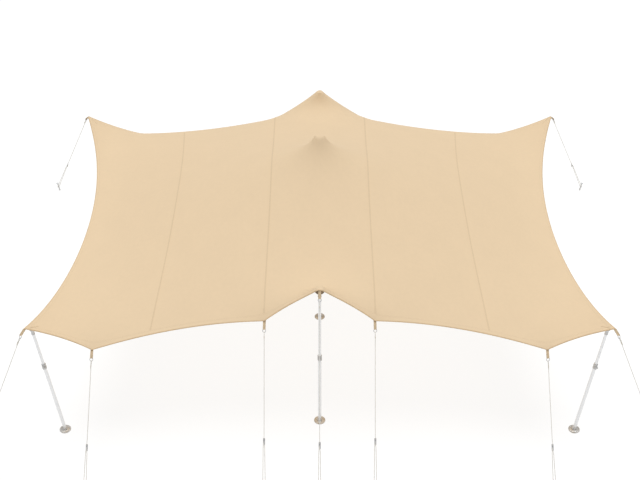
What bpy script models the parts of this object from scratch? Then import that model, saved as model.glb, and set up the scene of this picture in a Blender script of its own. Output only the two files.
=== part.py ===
"""Stretch tent: a five-panel stretch-fabric canopy on seven poles, held by fourteen guy lines.

Metres, +Z up. The origin is on the ground under the centre pole, the long side runs along X
and the front faces -Y. The canopy's surface is not drawn: it is a net of links in tension that
is solved for balance between the points where poles and guy lines hold it.
"""

import math

import bpy
import numpy as np
from mathutils import Matrix, Vector
from mathutils.bvhtree import BVHTree

# Width of cloth, cut size
ROLL_WIDTH = 1.5
CUT_HALF_DEPTH = 2.5
CUT_HALF_WIDTH = 3.9
SEAMS = (ROLL_WIDTH / 2, ROLL_WIDTH * 3 / 2)
LOW_POINT_CUT = 2.975
CLOTH = 0.003
SEAM_GAP = 0.0012

# Heights above the ground and plan places of the points that hold the front right quarter
INNER_X, INNER_Y, INNER_Z = 0.757, 2.605, 2.25
LOW_X, LOW_Y, LOW_Z = 3.134, 2.749, 1.846
CORNER_X, CORNER_Y, CORNER_Z = 4.017, 2.724, 2.229
RIDGE_Y, RIDGE_Z = 2.606, 2.804
PEAK_Z = 3.565
PEAK_PAD = (0.075, 0.06)
PEAK_DIP = 0.008
PEAK_ROUND = 0.06
RIDGE_PAD = 0.1
RIDGE_CAP = 0.062
RIDGE_CAP_IN = 0.055

# Forces in the net that draw its plan: one metre of cloth across the tent pulls as hard as this
# against one from front to back, and a little harder near the peak, and its edges pull harder
PLAN_RATIO = 0.8426
PLAN_PEAK = 0.116
PLAN_PEAK_REACH = (0.8, 1.2)
FRONT_PULLS = {"ridge": 1.773, "inner": 5.694, "low": 2.754}
SIDE_PULL = 4.257

# Forces in the net that draw its heights: they grow towards the peak, where the cloth is
# stretched most, and the edges keep a share of their pull
HEIGHT_RATIO = 1.717
HEIGHT_PEAK = 0.1822
HEIGHT_PEAK_POWER = 0.6555
HEIGHT_PEAK_SHAPE = 0.209
HEIGHT_PEAK_CORE = 0.03
HEIGHT_CAP_REACH = 0.07185
FRONT_SHARE = 2.193
SIDE_SHARE = 0.5353

# Load on each square metre of cloth: its weight, the wind's lift under its middle and the
# outward pull of the side hems
WEIGHT = 0.1231
LIFT = 0.6747
LIFT_REACH = (1.941, 1.977)
SIDE_LOAD = 0.7485
SIDE_LOAD_REACH = 0.8

# Lines of the panels in one quarter, as (how far they reach, how many, how much each gap grows)
LINES_ACROSS = (
    (PEAK_PAD[0], 1, 1.0),
    (SEAMS[0], 4, 1.3),
    (SEAMS[1], 5, 1.0),
    (LOW_POINT_CUT, 3, 1.0),
    (CUT_HALF_WIDTH, 4, 1.0),
)
LINES_ALONG = (
    (PEAK_PAD[1], 1, 1.0),
    (ROLL_WIDTH / 2, 4, 1.3),
    (CUT_HALF_DEPTH - RIDGE_PAD, 6, 1.0),
    (CUT_HALF_DEPTH, 1, 1.0),
)
NET_LINKS_PER_GAP = 3

# Poles: telescopic tubes with a round base plate
TUBE_RADIUS = 0.025
INNER_TUBE_RADIUS = 0.021
COLLAR_RADIUS = 0.031
COLLAR_LENGTH = 0.09
COLLAR_HEIGHT = 1.35
PLATE_RADIUS = 0.085
PLATE_THICK = 0.008
BOSS_RADIUS = 0.034
BOSS_HEIGHT = 0.04
POLE_FACES = 12
PLATE_FACES = 18
LEAN = 0.2

# Heads that carry the cloth
CENTRE_HEAD = 0.06
CENTRE_HEAD_RISE = 0.055
RIDGE_HEAD = 0.055
CORNER_HEAD = 0.04
HEAD_INSET = 0.075
CORNER_INSET = 0.11
HEAD_GAP = 0.004
SOCKET_DEPTH = 0.09

# Guy lines
ROPE_RADIUS = 0.005
ROPE_FACES = 6
RING_RADIUS = 0.022
RING_WIRE = 0.004
STRAP_WIDTH = 0.04
STRAP_THICK = 0.004
STRAP_LENGTH = 0.11
STRAP_GAP = 0.004
TENSIONER = (0.03, 0.016, 0.1)
TENSIONER_PLACE = 0.32
LOOP_HEIGHT = 0.075
CORNER_RUN = (0.98, 0.92)
LOW_RUN = (0.16, 1.02)
INNER_RUN = (0.02, 1.24)
RIDGE_RUN = (0.0, 1.58)

# Ground stakes, the part above the ground
STAKE_RADIUS = 0.011
STAKE_HEAD_RADIUS = 0.021
STAKE_HEAD = 0.01
STAKE_LENGTH = 0.15
STAKE_LEAN = math.radians(18)
STAKE_FACES = 8

MATERIALS = {
    "canopy_cloth": ((0.80, 0.62, 0.41), 0.85, 0.0),
    "pole_aluminium": ((0.78, 0.79, 0.80), 0.35, 1.0),
    "cap_plastic": ((0.72, 0.68, 0.60), 0.5, 0.0),
    "guy_rope": ((0.85, 0.83, 0.78), 0.8, 0.0),
    "stake_steel": ((0.55, 0.56, 0.57), 0.4, 1.0),
}


def clear_scene():
    for item in list(bpy.data.objects):
        bpy.data.objects.remove(item, do_unlink=True)


def make_collection(name):
    collection = bpy.data.collections.new(name)
    bpy.context.scene.collection.children.link(collection)
    return collection


def make_material(name):
    colour, roughness, metallic = MATERIALS[name]
    material = bpy.data.materials.new(name)
    material.use_nodes = True
    shader = material.node_tree.nodes["Principled BSDF"]
    shader.inputs["Base Color"].default_value = (*colour, 1.0)
    shader.inputs["Roughness"].default_value = roughness
    shader.inputs["Metallic"].default_value = metallic
    return material


def finish(item, name, material, collection):
    """Names a piece, gives it its material and puts it in the tent's collection alone."""
    item.name = name
    item.data.name = name
    item.data.materials.clear()
    item.data.materials.append(material)
    for owner in list(item.users_collection):
        owner.objects.unlink(item)
    collection.objects.link(item)
    return item


def evaluated_mesh(item):
    depsgraph = bpy.context.evaluated_depsgraph_get()
    return bpy.data.meshes.new_from_object(item.evaluated_get(depsgraph))


def bake(item):
    """Turns an object's modifiers into plain mesh."""
    mesh = evaluated_mesh(item)
    item.modifiers.clear()
    item.data = mesh
    return item


def union(base, pieces):
    """Joins pieces to a base as one solid, and removes them."""
    for piece in pieces:
        join = base.modifiers.new("Union", "BOOLEAN")
        join.operation = "UNION"
        join.object = piece
    bake(base)
    for piece in pieces:
        bpy.data.objects.remove(piece, do_unlink=True)
    return base


def turned(profile, faces):
    """A solid of revolution about Z, from a profile that runs from its top down to its foot."""
    points = [(radius, 0.0, height) for radius, height in profile]
    edges = [(i, i + 1) for i in range(len(points) - 1)]
    mesh = bpy.data.meshes.new("profile")
    mesh.from_pydata(points, edges, [])
    item = bpy.data.objects.new("turned", mesh)
    bpy.context.scene.collection.objects.link(item)
    screw = item.modifiers.new("Screw", "SCREW")
    screw.axis = "Z"
    screw.angle = 2 * math.pi
    screw.steps = faces
    screw.render_steps = faces
    screw.use_merge_vertices = True
    screw.merge_threshold = 0.0001
    return bake(item)


def box(size, place):
    bpy.ops.mesh.primitive_cube_add(size=1.0, location=place)
    item = bpy.context.object
    item.scale = size
    bpy.ops.object.transform_apply(location=False, rotation=False, scale=True)
    return item


def ring(place, radius, wire):
    """A round ring that stands in the XZ plane."""
    bpy.ops.mesh.primitive_torus_add(
        location=place,
        rotation=(math.pi / 2, 0, 0),
        major_radius=radius,
        minor_radius=wire,
        major_segments=10,
        minor_segments=4,
    )
    return bpy.context.object


def aim(item, foot, top, side):
    """Places an item so that its +Z runs from foot to top and its +X is level along side."""
    up = (top - foot).normalized()
    across = side.normalized()
    across = (across - up * across.dot(up)).normalized()
    turn = Matrix((across, up.cross(across), up)).transposed().to_4x4()
    item.matrix_world = Matrix.Translation(foot) @ turn
    return item


# The canopy's net


def panel_lines(plan):
    """Cut positions of the panels' lines, from the middle of the tent outwards."""
    lines = [0.0]
    for end, count, growth in plan:
        parts = np.cumsum(growth ** np.arange(count))
        start = lines[-1]
        lines.extend(start + (end - start) * parts / parts[-1])
    return np.array(lines)


def net_lines(lines):
    """The panels' lines with the net's finer ones between them."""
    places = np.arange(0, len(lines) - 1 + 1e-9, 1 / NET_LINKS_PER_GAP)
    return np.interp(places, np.arange(len(lines)), lines)


def shares(lines):
    """The width of cloth that belongs to each line of the net."""
    gaps = np.diff(lines)
    return (np.append(gaps, 0.0) + np.insert(gaps, 0, 0.0)) / 2


def middles(lines):
    return (lines[1:] + lines[:-1]) / 2


def fading(across, along, reach):
    """A share that is 1 at the peak and fades with distance across and along the tent."""
    return np.outer(np.exp(-((across / reach[0]) ** 2)), np.exp(-((along / reach[1]) ** 2)))


def nearer_peak(across, along):
    """How much harder links pull on the heights, by their places on the cut cloth."""
    far_across = (across / HEIGHT_PEAK_SHAPE)[:, None]
    far_along = (along * HEIGHT_PEAK_SHAPE)[None, :]
    reach = np.sqrt(far_across**2 + far_along**2 + HEIGHT_PEAK_CORE**2)
    core = np.sqrt(across[:, None] ** 2 + along[None, :] ** 2 + HEIGHT_PEAK_CORE**2)
    at_cap = np.sqrt(1 + (HEIGHT_CAP_REACH / core) ** 2)
    return (1 + (HEIGHT_PEAK / reach) ** HEIGHT_PEAK_POWER) * at_cap


def front_pull(place):
    """The force in the front edge at a place along it."""
    if place < SEAMS[0]:
        return FRONT_PULLS["ridge"]
    if place < LOW_POINT_CUT:
        return FRONT_PULLS["inner"]
    return FRONT_PULLS["low"]


def link_forces(across, along, axis):
    """Forces in the links across the tent, and in those from front to back, for one axis."""
    mid_across, mid_along = middles(across), middles(along)
    ratio = HEIGHT_RATIO if axis == 2 else PLAN_RATIO
    pull_across = np.outer(1 / np.diff(across), shares(along)) * ratio
    pull_along = np.outer(shares(across), 1 / np.diff(along)) / ratio
    front = np.array([front_pull(place) for place in mid_across])
    side = SIDE_PULL
    if axis == 2:
        pull_across *= nearer_peak(mid_across, along)
        pull_along *= nearer_peak(across, mid_along)
        front *= FRONT_SHARE
        side *= SIDE_SHARE
    pull_across[:, -1] += front / np.diff(across)
    pull_along[-1] += side / np.diff(along)
    if axis == 0:
        pull_across *= 1 + PLAN_PEAK * fading(mid_across, along, PLAN_PEAK_REACH)
    return pull_across, pull_along


def node_loads(across, along):
    """The upward load on every node."""
    side = SIDE_LOAD * np.exp(-(((CUT_HALF_WIDTH - across) / SIDE_LOAD_REACH) ** 2))
    load = LIFT * fading(across, along, LIFT_REACH) - side[:, None] - WEIGHT
    return load * np.outer(shares(across), shares(along))


def held_points(across, along):
    """Net nodes that a pole or a guy line holds, as {(column, row): place}."""
    held = {}
    for column, u in enumerate(across):
        for row, v in enumerate(along):
            near_u, near_v = u / PEAK_PAD[0], v / PEAK_PAD[1]
            if math.hypot(near_u, near_v) < 1.001:
                dip = PEAK_DIP * (1 - near_u**2) + PEAK_ROUND * near_v**2
                held[column, row] = (u, v, PEAK_Z - dip)
            inwards = CUT_HALF_DEPTH - v
            if math.hypot(u, inwards - RIDGE_CAP_IN) < RIDGE_CAP:
                held[column, row] = (u, RIDGE_Y - inwards, RIDGE_Z)
    front = len(along) - 1
    inner_column = int(np.argmin(abs(across - SEAMS[0])))
    low_column = int(np.argmin(abs(across - LOW_POINT_CUT)))
    held[inner_column, front] = (INNER_X, INNER_Y, INNER_Z)
    held[low_column, front] = (LOW_X, LOW_Y, LOW_Z)
    held[len(across) - 1, front] = (CORNER_X, CORNER_Y, CORNER_Z)
    return held


def balance(pull_across, pull_along, loads, known):
    """Coordinates of all nodes on one axis, in balance between the known ones."""
    nodes = np.arange(loads.size).reshape(loads.shape)
    stiffness = np.zeros((nodes.size, nodes.size))
    links = (
        (nodes[:-1], nodes[1:], pull_across),
        (nodes[:, :-1], nodes[:, 1:], pull_along),
    )
    for ends, other_ends, pulls in links:
        first, second, force = ends.ravel(), other_ends.ravel(), pulls.ravel()
        stiffness[first, first] += force
        stiffness[second, second] += force
        stiffness[first, second] -= force
        stiffness[second, first] -= force
    places = np.zeros(nodes.size)
    fixed = [nodes[spot] for spot in known]
    places[fixed] = list(known.values())
    loose = np.setdiff1d(nodes, fixed)
    right = loads.ravel()[loose] - stiffness[np.ix_(loose, fixed)] @ places[fixed]
    places[loose] = np.linalg.solve(stiffness[np.ix_(loose, loose)], right)
    return places.reshape(nodes.shape)


def quarter_net(panels_across, panels_along):
    """Places of the panels' nodes in one quarter, by column, row and axis."""
    across, along = net_lines(panels_across), net_lines(panels_along)
    held = held_points(across, along)
    loads = node_loads(across, along)
    places = []
    for axis in range(3):
        known = {spot: place[axis] for spot, place in held.items()}
        if axis == 0:
            known.update({(0, row): 0.0 for row in range(len(along))})
        if axis == 1:
            known.update({(column, 0): 0.0 for column in range(len(across))})
        pulls = link_forces(across, along, axis)
        places.append(balance(*pulls, loads if axis == 2 else 0.0 * loads, known))
    net = np.stack(places, axis=-1)
    return net[::NET_LINKS_PER_GAP, ::NET_LINKS_PER_GAP]


def full_net(quarter):
    """The whole canopy's net, from four mirrored quarters; row 0 is the front edge."""
    right = np.concatenate([quarter[:, :0:-1] * (1, -1, 1), quarter], axis=1)
    left = right[:0:-1] * (-1, 1, 1)
    return np.concatenate([left, right], axis=0)


def make_panel(net, first, last, gaps):
    """One width of cloth between two columns of the net, set back from its seams by the gaps."""
    columns = last - first
    rows = net.shape[1] - 1
    bpy.ops.mesh.primitive_grid_add(x_subdivisions=columns, y_subdivisions=rows, size=2.0)
    item = bpy.context.object
    for vertex in item.data.vertices:
        column = round((vertex.co.x + 1) / 2 * columns)
        row = round((vertex.co.y + 1) / 2 * rows)
        place = net[first + column, row].copy()
        if column == 0:
            place[0] += gaps[0]
        if column == columns:
            place[0] -= gaps[1]
        vertex.co = place
    shell = item.modifiers.new("Solidify", "SOLIDIFY")
    shell.thickness = CLOTH
    shell.offset = -1.0
    return item


def make_canopy(materials, collection):
    across, along = panel_lines(LINES_ACROSS), panel_lines(LINES_ALONG)
    net = full_net(quarter_net(across, along))
    middle = len(across) - 1
    seams = [int(np.argmin(abs(across - seam))) for seam in SEAMS]
    lines = [0, middle - seams[1], middle - seams[0]]
    lines += [middle + seams[0], middle + seams[1], 2 * middle]
    names = ("far_left", "left", "middle", "right", "far_right")
    panels = []
    for number, name in enumerate(names):
        gaps = [SEAM_GAP / 2, SEAM_GAP / 2]
        if number == 0:
            gaps[0] = 0.0
        if number == len(names) - 1:
            gaps[1] = 0.0
        panel = make_panel(net, lines[number], lines[number + 1], gaps)
        finish(panel, "panel_" + name, materials["canopy_cloth"], collection)
        panels.append(panel)
    return panels


class Underside:
    """The lower face of the cloth, to find how high a head can stand below it."""

    def __init__(self, panels):
        self.trees = []
        for panel in panels:
            mesh = evaluated_mesh(panel)
            corners = [vertex.co.copy() for vertex in mesh.vertices]
            faces = [tuple(face.vertices) for face in mesh.polygons]
            self.trees.append(BVHTree.FromPolygons(corners, faces))
            bpy.data.meshes.remove(mesh)

    def height(self, x, y):
        heights = []
        for tree in self.trees:
            hit = tree.ray_cast(Vector((x, y, 0.0)), Vector((0.0, 0.0, 1.0)))
            if hit[0] is not None:
                heights.append(hit[0].z)
        return min(heights, default=math.inf)

    def room(self, x, y, profile):
        """Height of a head's top when its profile of (radius, drop) just clears the cloth."""
        best = math.inf
        for radius, drop in profile:
            for turn in range(24):
                angle = turn * math.pi / 12
                over = self.height(x + radius * math.cos(angle), y + radius * math.sin(angle))
                best = min(best, over + drop)
        return best - HEAD_GAP


# Poles and their heads


def dome(radius, rise, steps=4):
    """A spherical cap's profile as (radius, drop from its top)."""
    ball = (radius**2 + rise**2) / (2 * rise)
    reach = math.asin(radius / ball) if rise < radius else math.pi / 2
    angles = [reach * step / steps for step in range(steps + 1)]
    return [(ball * math.sin(angle), ball * (1 - math.cos(angle))) for angle in angles]


def make_plate(place):
    """A round base plate with the boss that the tube stands in, flat on the ground."""
    profile = [
        (0.0, BOSS_HEIGHT),
        (BOSS_RADIUS, BOSS_HEIGHT),
        (BOSS_RADIUS, PLATE_THICK),
        (PLATE_RADIUS, PLATE_THICK),
        (PLATE_RADIUS, 0.0),
        (0.0, 0.0),
    ]
    plate = turned(profile, PLATE_FACES)
    plate.location = place
    bpy.context.view_layer.update()
    return plate


def tube_profile(length, head):
    """Profile of a telescopic pole under its head, from the top of the head to the foot."""
    collar_top = COLLAR_HEIGHT + COLLAR_LENGTH
    profile = [(radius, length - drop) for radius, drop in head]
    neck = profile[-1][1]
    if len(head) > 1:
        profile.append((INNER_TUBE_RADIUS, neck - 0.02))
    else:
        profile.append((INNER_TUBE_RADIUS, neck))
    profile += [
        (INNER_TUBE_RADIUS, collar_top),
        (COLLAR_RADIUS, collar_top),
        (COLLAR_RADIUS, COLLAR_HEIGHT),
        (TUBE_RADIUS, COLLAR_HEIGHT),
        (TUBE_RADIUS, 0.0),
        (0.0, 0.0),
    ]
    return profile


def make_pole(foot, top, head):
    """A pole from its foot in the base plate to its top, with a head's profile of its own."""
    start = foot + Vector((0, 0, 0.012))
    tube = turned(tube_profile((top - start).length, head), POLE_FACES)
    aim(tube, start, top, Vector((1, 0, 0)))
    bpy.context.view_layer.update()
    return union(tube, [make_plate(foot)])


def make_cap(head, foot, top):
    """A mushroom cap that sits over a pole's end; top is the top of its dome."""
    rim = head[-1]
    hole = INNER_TUBE_RADIUS + 0.0006
    wall = 0.006
    seat = rim[1] + 0.012
    profile = list(head)
    profile += [
        (rim[0], rim[1] + 0.008),
        (hole + wall, rim[1] + 0.02),
        (hole + wall, seat + SOCKET_DEPTH),
        (hole, seat + SOCKET_DEPTH),
        (hole, seat),
        (0.0, seat),
    ]
    cap = turned([(radius, -drop) for radius, drop in profile], POLE_FACES)
    up = (top - foot).normalized()
    aim(cap, top, top + up, Vector((1, 0, 0)))
    return cap, top - up * (seat + 0.0006)


def make_supports(under, materials, collection):
    metal = materials["pole_aluminium"]
    plastic = materials["cap_plastic"]
    plain_end = [(0.0, 0.0)]
    centre_head = dome(CENTRE_HEAD, CENTRE_HEAD_RISE)
    ridge_head = dome(RIDGE_HEAD, RIDGE_HEAD * 0.8)
    capped = (
        ("centre", 0.0, 0.0, centre_head),
        ("front", -(RIDGE_Y - HEAD_INSET), -(RIDGE_Y - HEAD_INSET - LEAN), ridge_head),
        ("back", RIDGE_Y - HEAD_INSET, RIDGE_Y - HEAD_INSET - LEAN, ridge_head),
    )
    for name, top_y, foot_y, head in capped:
        top = Vector((0.0, top_y, under.room(0.0, top_y, head)))
        foot = Vector((0.0, foot_y, 0.0))
        cap, seat = make_cap(head, foot, top)
        finish(cap, "cap_" + name, plastic, collection)
        pole = make_pole(foot, seat, plain_end)
        finish(pole, "pole_" + name, metal, collection)

    corner_head = dome(CORNER_HEAD, CORNER_HEAD * 0.8)
    inward = Vector((CORNER_X, CORNER_Y * 1.4, 0.0)).normalized()
    for side, side_name in ((-1, "left"), (1, "right")):
        for face, face_name in ((-1, "front"), (1, "back")):
            corner = Vector((side * CORNER_X, face * CORNER_Y, 0.0))
            way = Vector((side * inward.x, face * inward.y, 0.0))
            top = corner - way * CORNER_INSET
            top.z = under.room(top.x, top.y, corner_head)
            foot = corner - way * (CORNER_INSET + LEAN)
            pole = make_pole(foot, top, corner_head)
            finish(pole, f"pole_{face_name}_{side_name}", metal, collection)


# Guy lines and stakes


def make_guy(edge, stake_point):
    """A taut guy line: hem strap, ring, rope with its tensioner, and the loop at the stake."""
    line = edge - stake_point
    length = line.length
    strap_top = length - STRAP_GAP
    strap_foot = strap_top - STRAP_LENGTH
    ring_place = strap_foot - RING_RADIUS + 0.004
    rope_top = ring_place - RING_RADIUS + 0.002
    rope_foot = RING_RADIUS - 0.002
    bpy.ops.mesh.primitive_cylinder_add(
        vertices=ROPE_FACES,
        radius=ROPE_RADIUS,
        depth=rope_top - rope_foot,
        location=(0, 0, (rope_top + rope_foot) / 2),
    )
    rope = bpy.context.object
    bpy.ops.object.transform_apply(location=True, rotation=False, scale=False)
    pieces = [
        ring((0, 0, 0), RING_RADIUS, RING_WIRE),
        ring((0, 0, ring_place), RING_RADIUS, RING_WIRE),
        box((STRAP_WIDTH, STRAP_THICK, STRAP_LENGTH), (0, 0, (strap_top + strap_foot) / 2)),
        box(TENSIONER, (0, 0, length * TENSIONER_PLACE)),
    ]
    bpy.context.view_layer.update()
    guy = union(rope, pieces)
    across = Vector((0, 0, 1)).cross(line)
    return aim(guy, stake_point, edge, across)


def make_stake(stake_point, outward, ground):
    """A round steel stake that leans away from the tent, cut off flat at the ground."""
    lean = Vector((outward.x, outward.y, 0)).normalized() * math.sin(STAKE_LEAN)
    up = (lean + Vector((0, 0, math.cos(STAKE_LEAN)))).normalized()
    sunk = 0.05
    foot = stake_point - up * (stake_point.z / up.z + sunk)
    length = STAKE_LENGTH + sunk
    profile = [
        (0.0, length),
        (STAKE_HEAD_RADIUS, length),
        (STAKE_HEAD_RADIUS, length - STAKE_HEAD),
        (STAKE_RADIUS, length - STAKE_HEAD),
        (STAKE_RADIUS, 0.0),
        (0.0, 0.0),
    ]
    stake = turned(profile, STAKE_FACES)
    aim(stake, foot, foot + up, Vector((-outward.y, outward.x, 0)))
    cut = stake.modifiers.new("Ground", "BOOLEAN")
    cut.operation = "DIFFERENCE"
    cut.object = ground
    return stake


def tie_points():
    """Every held point of the hem, as (name, place, run of its guy line over the ground)."""
    quarter = (
        ("corner", (CORNER_X, CORNER_Y, CORNER_Z), CORNER_RUN),
        ("low", (LOW_X, LOW_Y, LOW_Z), LOW_RUN),
        ("inner", (INNER_X, INNER_Y, INNER_Z), INNER_RUN),
    )
    points = []
    for face, face_name in ((-1, "front"), (1, "back")):
        for side, side_name in ((-1, "left"), (1, "right")):
            for name, (x, y, z), (run_x, run_y) in quarter:
                place = Vector((side * x, face * y, z - CLOTH / 2))
                run = Vector((side * run_x, face * run_y, 0))
                points.append((f"{face_name}_{side_name}_{name}", place, run))
        place = Vector((0, face * RIDGE_Y, RIDGE_Z - CLOTH / 2))
        points.append((f"{face_name}_middle", place, Vector((0, face * RIDGE_RUN[1], 0))))
    return points


def make_ties(materials, collection, guides):
    ground = box((14, 12, 0.5), (0, 0, -0.25))
    finish(ground, "ground_cutter", materials["stake_steel"], guides)
    ground.display_type = "WIRE"
    ground.hide_render = True
    for name, place, run in tie_points():
        loop = Vector((place.x + run.x, place.y + run.y, LOOP_HEIGHT))
        guy = make_guy(place, loop)
        finish(guy, "guy_" + name, materials["guy_rope"], collection)
        stake = make_stake(loop, run, ground)
        finish(stake, "stake_" + name, materials["stake_steel"], collection)


def main():
    clear_scene()
    tent = make_collection("stretch_tent")
    guides = make_collection("guides")
    materials = {name: make_material(name) for name in MATERIALS}
    panels = make_canopy(materials, tent)
    bpy.context.view_layer.update()
    under = Underside(panels)
    make_supports(under, materials, tent)
    make_ties(materials, tent, guides)
    bpy.context.view_layer.update()


main()
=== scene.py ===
# %% [markdown]
# # A stretch tent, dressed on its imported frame
#
# The frame holds the tent's solids: five plain widths of cloth, seven poles, three caps,
# fourteen guy lines and their stakes. This script makes what the eye sees: one continuous
# stretched sheet with its sewn seams and rolled hem, turned poles with clamps and base
# plates, twisted ropes with rings and tensioners, and steel stakes. Every piece is made in
# metres, where the real one would be, and rides on the tent's one body, "root".

import math

import bmesh
import bpy
import numpy as np
from mathutils import Matrix, Vector


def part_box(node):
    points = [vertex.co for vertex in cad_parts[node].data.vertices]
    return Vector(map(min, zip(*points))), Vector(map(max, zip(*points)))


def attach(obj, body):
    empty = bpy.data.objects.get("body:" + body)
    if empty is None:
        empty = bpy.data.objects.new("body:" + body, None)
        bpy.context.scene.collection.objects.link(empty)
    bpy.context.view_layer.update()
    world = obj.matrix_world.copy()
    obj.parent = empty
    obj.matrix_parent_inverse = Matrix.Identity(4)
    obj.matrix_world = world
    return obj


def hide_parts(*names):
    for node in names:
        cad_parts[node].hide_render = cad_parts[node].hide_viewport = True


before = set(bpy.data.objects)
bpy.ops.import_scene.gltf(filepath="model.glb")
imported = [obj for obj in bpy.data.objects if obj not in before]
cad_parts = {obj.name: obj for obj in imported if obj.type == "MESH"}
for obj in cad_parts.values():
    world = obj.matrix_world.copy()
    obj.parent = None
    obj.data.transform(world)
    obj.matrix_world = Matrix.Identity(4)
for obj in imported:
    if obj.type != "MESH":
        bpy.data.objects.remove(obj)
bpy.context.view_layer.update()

# %% [markdown]
# ## Working by hand, in code
#
# Blender's operators act on what is selected, as they do for a person at the screen. The
# frame leaves its own solids selected, so each step starts with an empty selection, picks one
# piece, and picks faces or edges by where they are. These helpers keep those steps short.

# %% Selecting and finishing pieces
def pick_only(piece):
    """Leaves object mode's selection with one piece in it, and makes it active."""
    if bpy.context.object and bpy.context.object.mode != "OBJECT":
        bpy.ops.object.mode_set(mode="OBJECT")
    bpy.ops.object.select_all(action="DESELECT")
    piece.select_set(True)
    bpy.context.view_layer.objects.active = piece


def new_piece(name):
    """Names the object that an operator has just added."""
    piece = bpy.context.object
    piece.name = name
    piece.data.name = name
    return piece


def open_edit(piece, mode="FACE"):
    """Opens a piece in edit mode with nothing selected."""
    pick_only(piece)
    bpy.ops.object.mode_set(mode="EDIT")
    bpy.ops.mesh.select_mode(type=mode)
    bpy.ops.mesh.select_all(action="DESELECT")
    return bmesh.from_edit_mesh(piece.data)


def close_edit():
    bpy.ops.object.mode_set(mode="OBJECT")


def select_faces(piece, rule):
    """In edit mode, selects the faces whose centre and normal pass a rule."""
    mesh = bmesh.from_edit_mesh(piece.data)
    for face in mesh.faces:
        face.select_set(bool(rule(face.calc_center_median(), face.normal)))
    bmesh.update_edit_mesh(piece.data)


def apply_all(piece):
    pick_only(piece)
    for modifier in list(piece.modifiers):
        bpy.ops.object.modifier_apply(modifier=modifier.name)
    return piece


def settle(piece):
    """Puts a piece's place, turn and size into its mesh, so that its object is at the origin."""
    bpy.context.view_layer.update()
    piece.data.transform(piece.matrix_world)
    piece.matrix_world = Matrix.Identity(4)
    return piece


def smooth(piece, degrees=35):
    pick_only(piece)
    bpy.ops.object.shade_smooth_by_angle(angle=math.radians(degrees))
    return piece


def aim(piece, foot, top, across=(1, 0, 0)):
    """Stands a piece made along Z on the line from foot to top, and settles it there."""
    up = (Vector(top) - Vector(foot)).normalized()
    side = Vector(across)
    side = (side - up * side.dot(up)).normalized()
    turn = Matrix((side, up.cross(side), up)).transposed().to_4x4()
    piece.matrix_world = Matrix.Translation(Vector(foot)) @ turn
    return settle(piece)


def join(name, pieces):
    """Joins pieces of one finish into one object."""
    pick_only(pieces[0])
    for piece in pieces:
        piece.select_set(True)
    if len(pieces) > 1:
        bpy.ops.object.join()
    return new_piece(name)


def dress(piece, material):
    """Gives a finished piece its material and its body."""
    piece.data.materials.clear()
    piece.data.materials.append(material)
    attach(piece, "root")
    return piece

# %% [markdown]
# ## The camera
#
# The photograph looks down at the tent from the front, 38 degrees below the horizon. Distance
# and focal length were worked out by projecting the tent's corners and seams: the far edge is
# only a little smaller than the near one, which takes a fairly long lens from 17 m away.

# %% Camera
VIEW_DOWN = math.radians(38)
VIEW_DISTANCE = 17.551
VIEW_RISE = 0.496
INNER_TIE_HEIGHT = 2.25
FOCAL_PIXELS = 1136.9
FRAME_WIDTH_PIXELS = 640
MIDDLE_PIXEL = 319.7

camera_data = bpy.data.cameras.new("camera")
camera = bpy.data.objects.new("camera", camera_data)
bpy.context.scene.collection.objects.link(camera)
bpy.context.scene.camera = camera
camera_data.sensor_width = 36.0
camera_data.lens = FOCAL_PIXELS / FRAME_WIDTH_PIXELS * camera_data.sensor_width
camera_data.shift_x = (FRAME_WIDTH_PIXELS / 2 - MIDDLE_PIXEL) / FRAME_WIDTH_PIXELS
camera_data.clip_end = 200.0
camera.location = (
    0.0,
    -VIEW_DISTANCE * math.cos(VIEW_DOWN) - VIEW_RISE * math.sin(VIEW_DOWN),
    INNER_TIE_HEIGHT + VIEW_DISTANCE * math.sin(VIEW_DOWN) - VIEW_RISE * math.cos(VIEW_DOWN),
)
camera.rotation_euler = (math.pi / 2 - VIEW_DOWN, 0.0, 0.0)
print("camera at", [round(value, 3) for value in camera.location])

# %% [markdown]
# ## Floor and light
#
# The photograph is evenly lit on pure white. A broad soft light straight above leaves the
# steep slopes round the peak darker, as in the photograph, and a bright sky all round keeps
# every shadow faint. The floor is a pale disc with a glow of its own, like a lit backdrop. The
# Standard view keeps the white of the floor white.

# %% Floor and lights
FLOOR_RADIUS = 500.0
SKY_STRENGTH = 0.35
SUN_STRENGTH = 2.2
SUN_SOFTNESS = math.radians(40)
SUN_TILT = math.radians(-3)
FLOOR_GREY = 0.18
FLOOR_GLOW = 0.85
WHITE = (1.0, 1.0, 1.0, 1.0)

bpy.context.scene.view_settings.view_transform = "Standard"
bpy.context.scene.view_settings.look = "None"

world = bpy.data.worlds.new("soft_sky")
bpy.context.scene.world = world
world.use_nodes = True
sky = world.node_tree.nodes["Background"]
sky.inputs["Color"].default_value = WHITE
sky.inputs["Strength"].default_value = SKY_STRENGTH

sun_data = bpy.data.lights.new("overhead", "SUN")
sun_data.energy = SUN_STRENGTH
sun_data.angle = SUN_SOFTNESS
sun = bpy.data.objects.new("overhead", sun_data)
sun.rotation_euler = (SUN_TILT, 0.0, 0.0)
bpy.context.scene.collection.objects.link(sun)

bpy.ops.mesh.primitive_circle_add(vertices=96, radius=FLOOR_RADIUS, fill_type="NGON")
floor = new_piece("floor")
pale = bpy.data.materials.new("pale_floor")
pale.use_nodes = True
pale_shader = pale.node_tree.nodes["Principled BSDF"]
pale_shader.inputs["Base Color"].default_value = (FLOOR_GREY, FLOOR_GREY, FLOOR_GREY, 1.0)
pale_shader.inputs["Roughness"].default_value = 0.9
pale_shader.inputs["Emission Color"].default_value = WHITE
pale_shader.inputs["Emission Strength"].default_value = FLOOR_GLOW
floor.data.materials.append(pale)

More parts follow.
